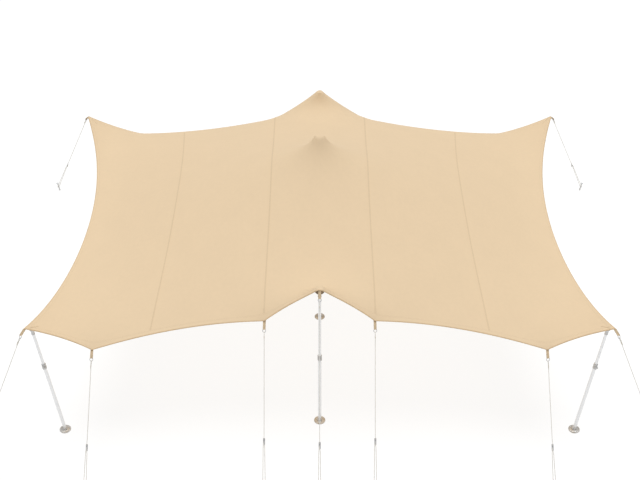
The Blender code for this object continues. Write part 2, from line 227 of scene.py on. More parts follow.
# %% [markdown]
# ## The canopy's shape
#
# A stretch tent has no frame under its cloth. The cloth is pulled tight between poles and guy
# lines, and settles where every thread is in balance. It could be modelled with cloth
# simulation, but a net of links that each pull in proportion to their length settles to the
# same kind of surface in a second, and gives the same answer each time. One quarter is
# enough, because the tent is the same left to right and front to back. The net's lines are
# laid out on the cloth as it was cut, close together at the peak, seams and hem.

# %% Lines of the net on the cut cloth
ROLL_WIDTH = 1.5
INNER_SEAM = ROLL_WIDTH / 2
OUTER_SEAM = ROLL_WIDTH * 3 / 2
SEAM_HALF = 0.01
LOW_TIE_CUT = 2.975
SIDE_CUT = 3.9
END_CUT = 2.5
HEM_BAND = 0.065
PEAK_HALF_WIDTH = 0.075
PEAK_HALF_DEPTH = 0.06
RIDGE_BAND = 0.18
LINK = 0.06
LINK_ON_CAP = 0.02
LINK_BESIDE_CAP = 0.024
LINK_ON_RIDGE = 0.03
LINK_ON_SIDE_HEM = 0.033
LINK_ON_END_HEM = 0.022


def spread(start, end, step):
    """Evenly spaced lines after start, up to and with end."""
    count = max(1, round((end - start) / step))
    return list(np.linspace(start, end, count + 1)[1:])


def opening_out(start, end, first, last, growth=1.22):
    """Lines after start whose spacing grows from first to last, up to and with end."""
    lines = [start]
    step = first
    while lines[-1] + step < end - step / 2:
        lines.append(lines[-1] + step)
        step = min(step * growth, last)
    return lines[1:] + [end]


across = [0.0]
across += spread(0.0, PEAK_HALF_WIDTH, LINK_ON_CAP)
across += opening_out(PEAK_HALF_WIDTH, INNER_SEAM - SEAM_HALF, LINK_BESIDE_CAP, LINK)
for seam in (INNER_SEAM, OUTER_SEAM):
    across += [seam, seam + SEAM_HALF]
    if seam == INNER_SEAM:
        across += spread(seam + SEAM_HALF, OUTER_SEAM - SEAM_HALF, LINK)
across += spread(OUTER_SEAM + SEAM_HALF, LOW_TIE_CUT, LINK)
across += spread(LOW_TIE_CUT, SIDE_CUT - HEM_BAND, LINK)
across += spread(SIDE_CUT - HEM_BAND, SIDE_CUT, LINK_ON_SIDE_HEM)
along = [0.0]
along += spread(0.0, PEAK_HALF_DEPTH, LINK_ON_CAP)
along += opening_out(PEAK_HALF_DEPTH, END_CUT - RIDGE_BAND, LINK_BESIDE_CAP, LINK)
along += spread(END_CUT - RIDGE_BAND, END_CUT - HEM_BAND, LINK_ON_RIDGE)
along += spread(END_CUT - HEM_BAND, END_CUT, LINK_ON_END_HEM)
across = np.array(across)
along = np.array(along)
print("net lines in a quarter:", len(across), "across,", len(along), "front to back")

# %% [markdown]
# The points that poles and guy lines hold are the same as in the frame. A pole's head is not
# a point: the cloth lies on a small round cap, and at the peak on a cap with two low lobes,
# so a patch of net nodes is held there.

# %% What holds the net
RIDGE_Y, RIDGE_Z = 2.606, 2.804
INNER_TIE = (0.757, 2.605, INNER_TIE_HEIGHT)
LOW_TIE = (3.134, 2.749, 1.846)
CORNER = (4.017, 2.724, 2.229)
PEAK_Z = 3.565
PEAK_DIP = 0.0035
PEAK_ROUND = 0.06
RIDGE_CAP = 0.062
RIDGE_CAP_IN = 0.055
RIDGE_ROUND = 0.009
ON_CAP = 1.001

held = np.zeros((len(across), len(along)), bool)
shape = np.zeros((len(across), len(along), 3))
shape[..., 0] = across[:, None]
shape[..., 1] = along[None, :] * RIDGE_Y / END_CUT
shape[..., 2] = INNER_TIE_HEIGHT


def hold(column, row, place):
    held[column, row] = True
    shape[column, row] = place


def nearest(lines, value):
    return int(np.argmin(abs(lines - value)))


last_row = len(along) - 1
last_column = len(across) - 1
for column, u in enumerate(across):
    for row, v in enumerate(along):
        reach = math.hypot(u / PEAK_HALF_WIDTH, v / PEAK_HALF_DEPTH)
        if reach <= ON_CAP:
            lobes = PEAK_DIP * (1 - (u / PEAK_HALF_WIDTH) ** 2)
            hold(column, row, (u, v, PEAK_Z - lobes - PEAK_ROUND * (v / PEAK_HALF_DEPTH) ** 2))
        reach = math.hypot(u, v - (END_CUT - RIDGE_CAP_IN)) / RIDGE_CAP
        if reach <= ON_CAP:
            hump = RIDGE_ROUND * (1 - reach**2)
            hold(column, row, (u, RIDGE_Y - (END_CUT - v), RIDGE_Z + hump))
hold(nearest(across, INNER_SEAM), last_row, INNER_TIE)
hold(nearest(across, LOW_TIE_CUT), last_row, LOW_TIE)
hold(last_column, last_row, CORNER)
print("held nodes in a quarter:", int(held.sum()))

# %% [markdown]
# Each link's pull depends on the width of cloth that belongs to it, and the hem's links pull
# much harder than the cloth's own. The plan and the heights have pulls of their own: the cloth
# is stretched most round the peak, and the wind lifts its middle while the side hems hang. The
# net settles by the conjugate gradient method: the nodes move along the forces that are left,
# in steps that never undo each other.

# %% Settling the net
MOST_ROUNDS = 6000
SETTLED = 1e-16
PLAN_RATIO = 0.8426
PLAN_PEAK = 0.116
PLAN_PEAK_REACH = (0.8, 1.2)
HEM_PULLS = (1.773, 5.694, 2.754)
SIDE_HEM_PULL = 4.257
HEIGHT_RATIO = 1.717
HEIGHT_PEAK = 0.1822
HEIGHT_PEAK_POWER = 0.6555
HEIGHT_PEAK_SHAPE = 0.209
HEIGHT_PEAK_CORE = 0.03
HEIGHT_CAP_REACH = 0.07185
HEM_HEIGHT_SHARE = 2.193
SIDE_HEIGHT_SHARE = 0.5353
CLOTH_WEIGHT = 0.1231
LIFT = 0.6747
LIFT_REACH = (1.941, 1.977)
SIDE_LOAD = 0.7485
SIDE_LOAD_REACH = 0.8


def share(lines):
    """The width of cloth that belongs to each line."""
    gaps = np.diff(lines)
    return (np.append(gaps, 0.0) + np.insert(gaps, 0, 0.0)) / 2


def net_force(places, pull_across, pull_along):
    """The force on every node from its links."""
    force = np.zeros_like(places)
    stretch = pull_across * np.diff(places, axis=0)
    force[:-1] += stretch
    force[1:] -= stretch
    stretch = pull_along * np.diff(places, axis=1)
    force[:, :-1] += stretch
    force[:, 1:] -= stretch
    return force


def settle_net(places, fixed, pull_across, pull_along, load):
    """Moves the free coordinates until the forces on them are in balance."""
    own = np.zeros(fixed.shape)
    own[:-1] += pull_across
    own[1:] += pull_across
    own[:, :-1] += pull_along
    own[:, 1:] += pull_along
    free = ~fixed
    left = (net_force(places, pull_across, pull_along) + load) * free
    step = left / own
    energy = (left * step).sum(axis=(0, 1))
    start = energy.copy()
    rounds = 0
    while (energy > start * SETTLED).any() and rounds < MOST_ROUNDS:
        answer = -net_force(step, pull_across, pull_along) * free
        size = energy / np.maximum((step * answer).sum(axis=(0, 1)), 1e-30)
        places = places + size * step
        left = left - size * answer
        better = left / own
        new_energy = (left * better).sum(axis=(0, 1))
        step = better + new_energy / np.maximum(energy, 1e-30) * step
        energy = new_energy
        rounds += 1
    print("net settled in", rounds, "rounds")
    return places


def fading(u, v, reach):
    """A share that is 1 at the peak and fades away from it."""
    return np.outer(np.exp(-((u / reach[0]) ** 2)), np.exp(-((v / reach[1]) ** 2)))


def nearer_peak(u, v):
    """How much harder a link pulls on the heights, by its place on the cut cloth."""
    across_reach = (u / HEIGHT_PEAK_SHAPE)[:, None]
    along_reach = (v * HEIGHT_PEAK_SHAPE)[None, :]
    reach = np.sqrt(across_reach**2 + along_reach**2 + HEIGHT_PEAK_CORE**2)
    core = np.sqrt(u[:, None] ** 2 + v[None, :] ** 2 + HEIGHT_PEAK_CORE**2)
    at_cap = np.sqrt(1 + (HEIGHT_CAP_REACH / core) ** 2)
    return (1 + (HEIGHT_PEAK / reach) ** HEIGHT_PEAK_POWER) * at_cap


width = share(across)
depth = share(along)
gap_across = np.diff(across)
gap_along = np.diff(along)
mid_across = (across[1:] + across[:-1]) / 2
mid_along = (along[1:] + along[:-1]) / 2
hem_pull = np.select(
    [mid_across < INNER_SEAM, mid_across < LOW_TIE_CUT], HEM_PULLS[:2], HEM_PULLS[2]
)
plan_across = PLAN_RATIO * depth[None, :] / gap_across[:, None]
plan_along = width[:, None] / gap_along[None, :] / PLAN_RATIO
height_across = HEIGHT_RATIO * depth[None, :] / gap_across[:, None]
height_along = width[:, None] / gap_along[None, :] / HEIGHT_RATIO
height_across *= nearer_peak(mid_across, along)
height_along *= nearer_peak(across, mid_along)
plan_across[:, -1] += hem_pull / gap_across
height_across[:, -1] += HEM_HEIGHT_SHARE * hem_pull / gap_across
plan_along[-1] += SIDE_HEM_PULL / gap_along
height_along[-1] += SIDE_HEIGHT_SHARE * SIDE_HEM_PULL / gap_along
spread_at_peak = 1 + PLAN_PEAK * fading(mid_across, along, PLAN_PEAK_REACH)
pull_across = np.stack([plan_across * spread_at_peak, plan_across, height_across], axis=-1)
pull_along = np.stack([plan_along, plan_along, height_along], axis=-1)
fixed = np.repeat(held[..., None], 3, axis=2)
fixed[0, :, 0] = True
fixed[:, 0, 1] = True
shape[0, :, 0] = 0.0
side_load = SIDE_LOAD * np.exp(-(((SIDE_CUT - across) / SIDE_LOAD_REACH) ** 2))
load = np.zeros_like(shape)
load[..., 2] = LIFT * fading(across, along, LIFT_REACH) - side_load[:, None] - CLOTH_WEIGHT
load *= np.outer(width, depth)[..., None]
quarter = settle_net(shape, fixed, pull_across, pull_along, load)
print("lowest and highest cloth:", quarter[..., 2].min().round(3), quarter[..., 2].max().round(3))

# %% [markdown]
# Four mirrored quarters make the whole sheet: column 0 is the left side, row 0 the front.

# %% The whole net
right_half = np.concatenate([quarter[:, :0:-1] * (1, -1, 1), quarter], axis=1)
net = np.concatenate([right_half[:0:-1] * (-1, 1, 1), right_half], axis=0)
cut_u = np.concatenate([-across[:0:-1], across])
cut_v = np.concatenate([-along[:0:-1], along])
COLUMNS, ROWS = len(cut_u) - 1, len(cut_v) - 1
print("whole net:", COLUMNS, "by", ROWS, "cells")

# %% [markdown]
# ## The canopy sheet
#
# A grid primitive has the same rows and columns as the net, so each of its vertices takes the
# place of one node. Its UV map is the cut cloth in metres, so that the weave and the
# stitching follow the cloth however it is stretched.

# %% Grid for the canopy
HEM_RADIUS = 0.01
CLOTH_THICK = 0.0014


def normals_of(places):
    """A unit normal at every node, pointing up."""
    run = np.gradient(places, axis=0)
    rise = np.gradient(places, axis=1)
    normal = np.cross(run, rise)
    return normal / np.linalg.norm(normal, axis=2, keepdims=True)


net_normal = normals_of(net)


def cloth_grid(name, places):
    """A grid with one vertex on each node and a UV map of the cut cloth in metres."""
    bpy.ops.mesh.primitive_grid_add(x_subdivisions=COLUMNS, y_subdivisions=ROWS, size=2.0)
    piece = new_piece(name)
    uv = piece.data.uv_layers.active
    uv.name = "cut"
    spots = []
    for vertex in piece.data.vertices:
        column = round((vertex.co.x + 1) / 2 * COLUMNS)
        row = round((vertex.co.y + 1) / 2 * ROWS)
        spots.append((cut_u[column], cut_v[row]))
        vertex.co = places[column, row]
    for loop in piece.data.loops:
        uv.data[loop.index].uv = spots[loop.vertex_index]
    return piece

# %% [markdown]
# The hem is rolled round a rope. The photograph's edge is the outside of that roll, so the
# sheet stops short of the net's edge by the roll's radius, and ends on top of the roll. At a
# corner the shift runs along the mitre between the two edges.

# %% Edge of the sheet
edge_nodes = [(column, 0) for column in range(COLUMNS)]
edge_nodes += [(COLUMNS, row) for row in range(ROWS)]
edge_nodes += [(column, ROWS) for column in range(COLUMNS, 0, -1)]
edge_nodes += [(0, row) for row in range(ROWS, 0, -1)]
edge_columns = np.array([column for column, row in edge_nodes])
edge_rows = np.array([row for column, row in edge_nodes])
MITRE_LIMIT = 2.0


def edge_mitres(points, normals):
    """For each point of the closed edge, the way out, as long as its mitre."""
    ahead = np.roll(points, -1, axis=0) - points
    ahead /= np.linalg.norm(ahead, axis=1, keepdims=True)
    out_ahead = np.cross(ahead, normals)
    out_ahead /= np.linalg.norm(out_ahead, axis=1, keepdims=True)
    out_behind = np.roll(out_ahead, 1, axis=0)
    mitre = out_ahead + out_behind
    mitre /= 1 + (out_ahead * out_behind).sum(axis=1, keepdims=True)
    length = np.linalg.norm(mitre, axis=1, keepdims=True)
    return mitre * np.minimum(1.0, MITRE_LIMIT / length)


edge_points = net[edge_columns, edge_rows]
edge_normals = net_normal[edge_columns, edge_rows]
edge_out = edge_mitres(edge_points, edge_normals)
sheet = net.copy()
sheet[edge_columns, edge_rows] = edge_points - HEM_RADIUS * edge_out
roll_line = edge_points - HEM_RADIUS * edge_out - (HEM_RADIUS - CLOTH_THICK) * edge_normals
hem_length = np.linalg.norm(np.diff(edge_points, axis=0), axis=1).sum()
print("hem length:", round(float(hem_length), 2), "m")

# %% [markdown]
# The sheet gets its thickness downward. The welts of the seams stand proud above it and below
# it, and the hem band lies only under it: both are strips copied from the sheet's own faces.

# %% Canopy, seams and hem band
SEAM_RISE = 0.0011
BAND_BELOW = 0.0012
BAND_GAP = 0.0002

canopy = cloth_grid("canopy", sheet)


def thicken(piece, above, below):
    """Gives an open sheet a thickness that reaches above and below the surface it lies on."""
    solid = piece.modifiers.new("Thickness", "SOLIDIFY")
    solid.thickness = above + below
    solid.offset = (above - below) / (above + below)
    return apply_all(piece)


def lift_strip(name, rule):
    """Copies the canopy's faces whose place on the cut cloth passes a rule, as a new sheet."""
    mesh = open_edit(canopy)
    layer = mesh.loops.layers.uv.active
    for face in mesh.faces:
        spots = [loop[layer].uv for loop in face.loops]
        u = sum(spot.x for spot in spots) / len(spots)
        v = sum(spot.y for spot in spots) / len(spots)
        face.select_set(bool(rule(u, v)))
    bmesh.update_edit_mesh(canopy.data)
    bpy.ops.mesh.duplicate()
    bpy.ops.mesh.separate(type="SELECTED")
    close_edit()
    piece = next(item for item in bpy.context.selected_objects if item != canopy)
    pick_only(piece)
    return new_piece(name)


def seam_distance(u):
    """Distance from the nearest of the four seams, on the cut cloth."""
    return min(abs(abs(u) - INNER_SEAM), abs(abs(u) - OUTER_SEAM))


seams = lift_strip(
    "seams", lambda u, v: seam_distance(u) < SEAM_HALF and abs(v) < END_CUT - HEM_BAND
)
hem_band = lift_strip(
    "hem_band", lambda u, v: abs(v) > END_CUT - HEM_BAND or abs(u) > SIDE_CUT - HEM_BAND
)
for piece, rise, sink in (
    (canopy, 0.0, CLOTH_THICK),
    (seams, SEAM_RISE, CLOTH_THICK + SEAM_RISE),
    (hem_band, -CLOTH_THICK - BAND_GAP, CLOTH_THICK + BAND_BELOW),
):
    thicken(piece, rise, sink)
    smooth(piece, 50)
    print(piece.name, len(piece.data.polygons), "faces")

# %% [markdown]
# The roll itself is a curve round the whole edge with a round bevel. Where two edges meet in
# a corner the roll keeps its mitre. It becomes a mesh, so that it can be exported.

# %% Rolled hem
def tube_along(name, points, radius, closed, sides=3):
    """A round tube through points."""
    curve = bpy.data.curves.new(name, "CURVE")
    curve.dimensions = "3D"
    curve.bevel_depth = radius
    curve.bevel_resolution = sides
    curve.use_fill_caps = not closed
    line = curve.splines.new("POLY")
    line.points.add(len(points) - 1)
    for spot, point in zip(line.points, points):
        spot.co = (*point, 1.0)
    line.use_cyclic_u = closed
    piece = bpy.data.objects.new(name, curve)
    bpy.context.scene.collection.objects.link(piece)
    pick_only(piece)
    bpy.ops.object.convert(target="MESH")
    piece = new_piece(name)
    open_edit(piece)
    bpy.ops.mesh.select_all(action="SELECT")
    bpy.ops.mesh.remove_doubles(threshold=0.00005)
    bpy.ops.mesh.normals_make_consistent(inside=False)
    close_edit()
    return smooth(piece, 60)


hem_roll = tube_along("hem_roll", roll_line, HEM_RADIUS, closed=True)
print("hem roll:", len(hem_roll.data.polygons), "faces")

# %% [markdown]
# ## Finding a place on the stretched cloth
#
# Patches and straps are drawn on the flat cloth, as a tent maker does, and then carried onto
# the stretched sheet. This reads the net between its nodes.

# %% From the cut cloth to the stretched cloth
def on_cloth(u, v, lift=0.0):
    """Place on the stretched sheet of a point of the cut cloth, moved along the normal by lift."""
    column = int(np.clip(np.searchsorted(cut_u, u) - 1, 0, COLUMNS - 1))
    row = int(np.clip(np.searchsorted(cut_v, v) - 1, 0, ROWS - 1))
    s = np.clip((u - cut_u[column]) / (cut_u[column + 1] - cut_u[column]), 0, 1)
    t = np.clip((v - cut_v[row]) / (cut_v[row + 1] - cut_v[row]), 0, 1)
    answer = []
    for field in (sheet, net_normal):
        low = field[column, row] * (1 - s) + field[column + 1, row] * s
        high = field[column, row + 1] * (1 - s) + field[column + 1, row + 1] * s
        answer.append(low * (1 - t) + high * t)
    place, normal = answer
    return Vector(place + normal / np.linalg.norm(normal) * lift)


def carry(piece, lift):
    """Carries a flat piece, drawn on the cut cloth, onto the stretched sheet."""
    mesh = piece.data
    uv = mesh.uv_layers.active or mesh.uv_layers.new()
    uv.name = "cut"
    flat = [vertex.co.copy() for vertex in mesh.vertices]
    for loop in mesh.loops:
        uv.data[loop.index].uv = flat[loop.vertex_index].xy
    for vertex, spot in zip(mesh.vertices, flat):
        vertex.co = on_cloth(spot.x, spot.y, lift)
    return piece

# %% [markdown]
# ## Patches under the cloth
#
# Wherever a pole pushes or a guy line pulls, a tent maker sews a second layer under the cloth:
# a full circle at the peak, and circles cut off by the hem at the edge. Each starts as a
# filled circle, gets rings by repeated insets so that it can bend, and is cut along the hem
# by a bisect.

# %% Patches
PATCH_THICK = 0.0016
PATCH_GAP = 0.0003
HEM_CLEAR = 0.018
CORNER_PATCH, LOW_PATCH, INNER_PATCH, RIDGE_PATCH, PEAK_PATCH = 0.34, 0.24, 0.22, 0.3, 0.36


def round_patch(name, u, v, radius, rings=7):
    """A round patch drawn on the cut cloth, cut off at the hem, carried under the sheet."""
    bpy.ops.mesh.primitive_circle_add(
        vertices=72, radius=radius, fill_type="NGON", location=(u, v, 0)
    )
    piece = settle(new_piece(name))
    open_edit(piece)
    select_faces(piece, lambda place, normal: True)
    for _ in range(rings):
        bpy.ops.mesh.inset(thickness=radius / (rings + 1))
    bpy.ops.mesh.poke()
    for point, way in (
        ((SIDE_CUT - HEM_CLEAR, 0, 0), (1, 0, 0)),
        ((HEM_CLEAR - SIDE_CUT, 0, 0), (-1, 0, 0)),
        ((0, END_CUT - HEM_CLEAR, 0), (0, 1, 0)),
        ((0, HEM_CLEAR - END_CUT, 0), (0, -1, 0)),
    ):
        bpy.ops.mesh.select_all(action="SELECT")
        bpy.ops.mesh.bisect(plane_co=point, plane_no=way, clear_outer=True)
    close_edit()
    carry(piece, -CLOTH_THICK - PATCH_GAP)
    thicken(piece, 0.0, PATCH_THICK)
    return smooth(piece, 50)


tie_cuts = []
for face in (-1, 1):
    for side in (-1, 1):
        tie_cuts.append((side * SIDE_CUT, face * END_CUT, CORNER_PATCH))
        tie_cuts.append((side * LOW_TIE_CUT, face * END_CUT, LOW_PATCH))
        tie_cuts.append((side * INNER_SEAM, face * END_CUT, INNER_PATCH))
    tie_cuts.append((0.0, face * END_CUT, RIDGE_PATCH))
patches = [round_patch("patch", u, v, radius) for u, v, radius in tie_cuts]
patches.append(round_patch("patch", 0.0, 0.0, PEAK_PATCH, rings=16))
patches = join("under_patches", patches)
print("patches:", len(patches.data.polygons), "faces")

# %% [markdown]
# ## Laying things along a line
#
# Ropes and straps are made straight, along Z, and then laid along the line that they take in
# the tent. A vertex at height z goes to the point z metres along the line, and keeps its
# distance from the line. The side direction is carried along the line, so nothing twists.

# %% Laying a straight piece along a line
def round_off(points, reach, steps=5):
    """A line's points with every inner corner replaced by a small arc."""
    points = [Vector(point) for point in points]
    line = [points[0]]
    for before, corner, after in zip(points, points[1:], points[2:]):
        cut = min(reach, (corner - before).length * 0.48, (after - corner).length * 0.48)
        start = corner + (before - corner).normalized() * cut
        end = corner + (after - corner).normalized() * cut
        for step in range(steps + 1):
            t = step / steps
            line.append(start * (1 - t) ** 2 + corner * 2 * t * (1 - t) + end * t**2)
    line.append(points[-1])
    return line


def lay_along(piece, line, side):
    """Bends a piece that is straight along Z so that it follows a line."""
    line = [Vector(point) for point in line]
    lengths = [0.0]
    for before, after in zip(line, line[1:]):
        lengths.append(lengths[-1] + (after - before).length)
    ways = [(after - before).normalized() for before, after in zip(line, line[1:])]
    at_points = [ways[0]]
    at_points += [(a + b).normalized() for a, b in zip(ways, ways[1:])]
    at_points.append(ways[-1])
    sides = []
    side = Vector(side)
    for way in at_points:
        side = (side - way * side.dot(way)).normalized()
        sides.append(side)
    for vertex in piece.data.vertices:
        z = vertex.co.z
        spot = int(np.clip(np.searchsorted(lengths, z) - 1, 0, len(line) - 2))
        t = (z - lengths[spot]) / (lengths[spot + 1] - lengths[spot])
        place = line[spot].lerp(line[spot + 1], t)
        way = at_points[spot].lerp(at_points[spot + 1], min(1.0, max(0.0, t))).normalized()
        across_line = sides[spot].lerp(sides[spot + 1], min(1.0, max(0.0, t))).normalized()
        third = way.cross(across_line)
        vertex.co = place + across_line * vertex.co.x + third * vertex.co.y
    return piece


def line_length(line):
    return sum((Vector(b) - Vector(a)).length for a, b in zip(line, line[1:]))

# %% [markdown]
# ## Where the guy lines run
#
# The tie points are the net's held points on the hem, and each guy line runs out over the
# ground as far as its frame node does, down to a loop round its stake.

# %% Guy line places
LOOP_HEIGHT = 0.075
RUNS = {
    "corner": (CORNER, (0.98, 0.92), (SIDE_CUT, END_CUT)),
    "low": (LOW_TIE, (0.16, 1.02), (LOW_TIE_CUT, END_CUT)),
    "inner": (INNER_TIE, (0.02, 1.24), (INNER_SEAM, END_CUT)),
}
RIDGE_RUN = 1.58
CAD_CLOTH = 0.003
FACES = ((-1, "front"), (1, "back"))
SIDES = ((-1, "left"), (1, "right"))

ties = []
for face, face_name in FACES:
    for side, side_name in SIDES:
        for kind, (place, run, cut) in RUNS.items():
            tie = Vector((side * place[0], face * place[1], place[2] - CAD_CLOTH / 2))
            loop = Vector((tie.x + side * run[0], tie.y + face * run[1], LOOP_HEIGHT))
            spot = (side * cut[0], face * cut[1])
            ties.append((f"{face_name}_{side_name}_{kind}", tie, loop, spot))
    tie = Vector((0, face * RIDGE_Y, RIDGE_Z - CAD_CLOTH / 2))
    loop = Vector((0, tie.y + face * RIDGE_RUN, LOOP_HEIGHT))
    ties.append((f"{face_name}_middle", tie, loop, (0.0, face * END_CUT)))
for name, tie, loop, spot in ties:
    low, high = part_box("guy_" + name)
    assert low.z < loop.z < high.z and abs(high.z - tie.z) < 0.05, name
print("guy lines:", len(ties))

# %% [markdown]
# ## Ropes
#
# The guy ropes are laid rope: three strands twisted together. A circle with nine points is
# pinched at every third one, which gives the outline of three strands, and a Screw modifier
# turns it while it climbs. The straight rope is then laid along its line: an eye round the
# hem ring, down to the tensioner, round the stake and back up to the tensioner, with a
# stopper knot on its end.

# %% Rope
ROPE_RADIUS = 0.005
ROPE_PITCH = 0.034
ROPE_STEPS = 8
HEM_RING = 0.022
RING_WIRE = 0.004
STRAP_LENGTH = 0.11
STRAP_GAP = 0.004
RING_SLACK = 0.004
TENSIONER_PLACE = 0.32
EYE_RADIUS = 0.0195
STRAND_PINCH = 0.66


def straight_rope(name, length):
    """A twisted rope of three strands along Z, with closed ends."""
    bpy.ops.mesh.primitive_circle_add(vertices=9, radius=ROPE_RADIUS, fill_type="NOTHING")
    rope = new_piece(name)
    open_edit(rope, "VERT")
    mesh = bmesh.from_edit_mesh(rope.data)
    mesh.verts.ensure_lookup_table()
    for number, vertex in enumerate(mesh.verts):
        vertex.select_set(number % 3 == 0)
    bmesh.update_edit_mesh(rope.data)
    bpy.ops.transform.resize(
        value=(STRAND_PINCH, STRAND_PINCH, 1), center_override=(0, 0, 0)
    )
    close_edit()
    turns = math.ceil(length / ROPE_PITCH)
    screw = rope.modifiers.new("Lay", "SCREW")
    screw.angle = 2 * math.pi
    screw.screw_offset = length / turns
    screw.iterations = turns
    screw.steps = ROPE_STEPS
    screw.render_steps = ROPE_STEPS
    apply_all(rope)
    open_edit(rope, "EDGE")
    bpy.ops.mesh.select_all(action="SELECT")
    bpy.ops.mesh.region_to_loop()
    bpy.ops.mesh.edge_face_add()
    bpy.ops.mesh.select_all(action="SELECT")
    bpy.ops.mesh.normals_make_consistent(inside=False)
    close_edit()
    return rope

# %% [markdown]
# The line of each rope is written in the guy line's own directions: along it, across it, and
# the third way at right angles to both. A small helper turns such a place into metres in the
# tent.

# %% Lines of the ropes
def guy_frame(tie, loop):
    """Directions of a guy line: across it and level, at right angles to both, and up along it."""
    up = (tie - loop).normalized()
    level = Vector((0, 0, 1)).cross(up).normalized()
    return level, up.cross(level), up


def ring_place(tie, loop):
    """How far up the guy line the middle of its hem ring is."""
    return (tie - loop).length - STRAP_GAP - STRAP_LENGTH - HEM_RING + RING_SLACK


def arc(radius, start, end, steps=10):
    """Points of an arc as pairs (cosine, sine) times the radius, angles in degrees."""
    angles = [math.radians(start + (end - start) * step / steps) for step in range(steps + 1)]
    return [(radius * math.cos(angle), radius * math.sin(angle)) for angle in angles]


def rope_line(ring_z, plate_z):
    """The rope's own line, as (across, third, up) from the stake's loop."""
    wire = ring_z - HEM_RING
    eye = RING_WIRE + ROPE_RADIUS + 0.0008
    beside = 2 * ROPE_RADIUS + 0.0006
    through = 0.0085
    points = [(0, beside, wire - 0.11), (0, beside, wire - 0.03)]
    points += [(0, y, wire + z) for y, z in arc(eye, 0, 180)]
    points += [(0, -eye * 0.6, wire - 0.022), (0, 0, wire - 0.045), (0, 0, plate_z + 0.12)]
    points += [(0, through, plate_z + 0.052), (0, through, plate_z + 0.041)]
    points += [(0, -through, plate_z + 0.027), (0, -through, plate_z + 0.007)]
    points += [(0, through, plate_z - 0.007), (0.007, 0.011, plate_z - 0.03)]
    points += [(0.012, 0.006, plate_z - 0.075), (EYE_RADIUS, 0, 0.02)]
    points += [(x, 0, z) for x, z in arc(EYE_RADIUS, 0, -180)]
    points += [(-EYE_RADIUS, 0, 0.02), (-0.009, 0.006, plate_z - 0.085)]
    points += [(0, through, plate_z - 0.041), (0, -through, plate_z - 0.027)]
    points += [(0, -0.012, plate_z - 0.004)]
    return points


def make_rope(name, tie, loop):
    level, third, up = guy_frame(tie, loop)
    plate_z = (tie - loop).length * TENSIONER_PLACE
    places = rope_line(ring_place(tie, loop), plate_z)
    line = [loop + level * x + third * y + up * z for x, y, z in places]
    line = round_off(line, 0.007, steps=3)
    rope = straight_rope("rope_" + name, line_length(line))
    lay_along(rope, line, level)
    smooth(rope, 60)
    return rope, line_length(line)


ropes = {}
for name, tie, loop, spot in ties:
    ropes[name], rope_length = make_rope(name, tie, loop)
print("ropes:", len(ropes), "the last", round(rope_length, 2), "m long")

# %% [markdown]
# ## Whippings, knots, rings and tensioners
#
# The eye at the top of each rope is closed by a whipping, many tight turns of thin twine. The
# tensioner is a flat bar with three holes that the rope passes through: the holes are cut by
# one Boolean, and the bar is then copied to each rope.

# %% Small pieces on the ropes
def turned(name, profile, sides=24):
    """Extrudes a filled circle up through a profile of (radius, height)."""
    radius, height = profile[0]
    bpy.ops.mesh.primitive_circle_add(
        vertices=sides, radius=radius, fill_type="NGON", location=(0, 0, height)
    )
    piece = new_piece(name)
    open_edit(piece)
    bpy.ops.mesh.select_all(action="SELECT")
    for (radius, height), (new_radius, new_height) in zip(profile, profile[1:]):
        bpy.ops.mesh.extrude_region_move(
            TRANSFORM_OT_translate={"value": (0, 0, new_height - height)}
        )
        scale = new_radius / radius
        bpy.ops.transform.resize(value=(scale, scale, 1), center_override=(0, 0, 0))
    bpy.ops.mesh.select_all(action="SELECT")
    bpy.ops.mesh.normals_make_consistent(inside=False)
    close_edit()
    return settle(piece)


def copy_of(piece, name):
    twin = piece.copy()
    twin.data = piece.data.copy()
    bpy.context.scene.collection.objects.link(twin)
    twin.name = name
    return twin


def cut_away(piece, cutter):
    """Cuts one piece by another, which is then removed."""
    pick_only(piece)
    cut = piece.modifiers.new("Cut", "BOOLEAN")
    cut.operation = "DIFFERENCE"
    cut.object = cutter
    apply_all(piece)
    bpy.data.objects.remove(cutter, do_unlink=True)
    return piece


def rounded_box(name, size, bevel, segments=2, place=(0, 0, 0)):
    bpy.ops.mesh.primitive_cube_add(size=1.0, location=place)
    piece = new_piece(name)
    piece.scale = size
    settle(piece)
    edge = piece.modifiers.new("Edges", "BEVEL")
    edge.width = bevel
    edge.segments = segments
    return apply_all(piece)


def cylinder(name, radius, depth, place, turn=(0, 0, 0), sides=20):
    bpy.ops.mesh.primitive_cylinder_add(
        vertices=sides, radius=radius, depth=depth, location=place, rotation=turn
    )
    return settle(new_piece(name))


PLATE_SIZE = (0.028, 0.0045, 0.1)
plate = rounded_box("plate", PLATE_SIZE, 0.0016)
holes = [
    cylinder("hole", 0.0062, 0.02, (0, 0, z), (math.pi / 2, 0, 0)) for z in (-0.034, 0, 0.034)
]
cut_away(plate, join("holes", holes))
smooth(plate, 40)

WHIP_TURNS = 14
TWINE = 0.0022
WHIP_VALLEY, WHIP_HILL = 0.0062, 0.0068
whip_profile = [(WHIP_VALLEY, 0.0)]
for turn in range(WHIP_TURNS):
    whip_profile += [(WHIP_HILL, TWINE * turn + 0.0006), (WHIP_VALLEY, TWINE * turn + TWINE)]
whipping = turned("whipping", whip_profile, 16)
whipping.scale = (1.0, 1.72, 1.0)
whipping.location = (0, ROPE_RADIUS, 0)
settle(whipping)
smooth(whipping, 60)

bpy.ops.mesh.primitive_torus_add(
    major_radius=0.0062, minor_radius=0.0048, major_segments=14, minor_segments=8
)
knot = settle(new_piece("knot"))
smooth(knot, 60)

bpy.ops.mesh.primitive_torus_add(
    rotation=(math.pi / 2, 0, 0),
    major_radius=HEM_RING,
    minor_radius=RING_WIRE,
    major_segments=36,
    minor_segments=12,
)
hem_ring = settle(new_piece("hem_ring"))
smooth(hem_ring, 60)

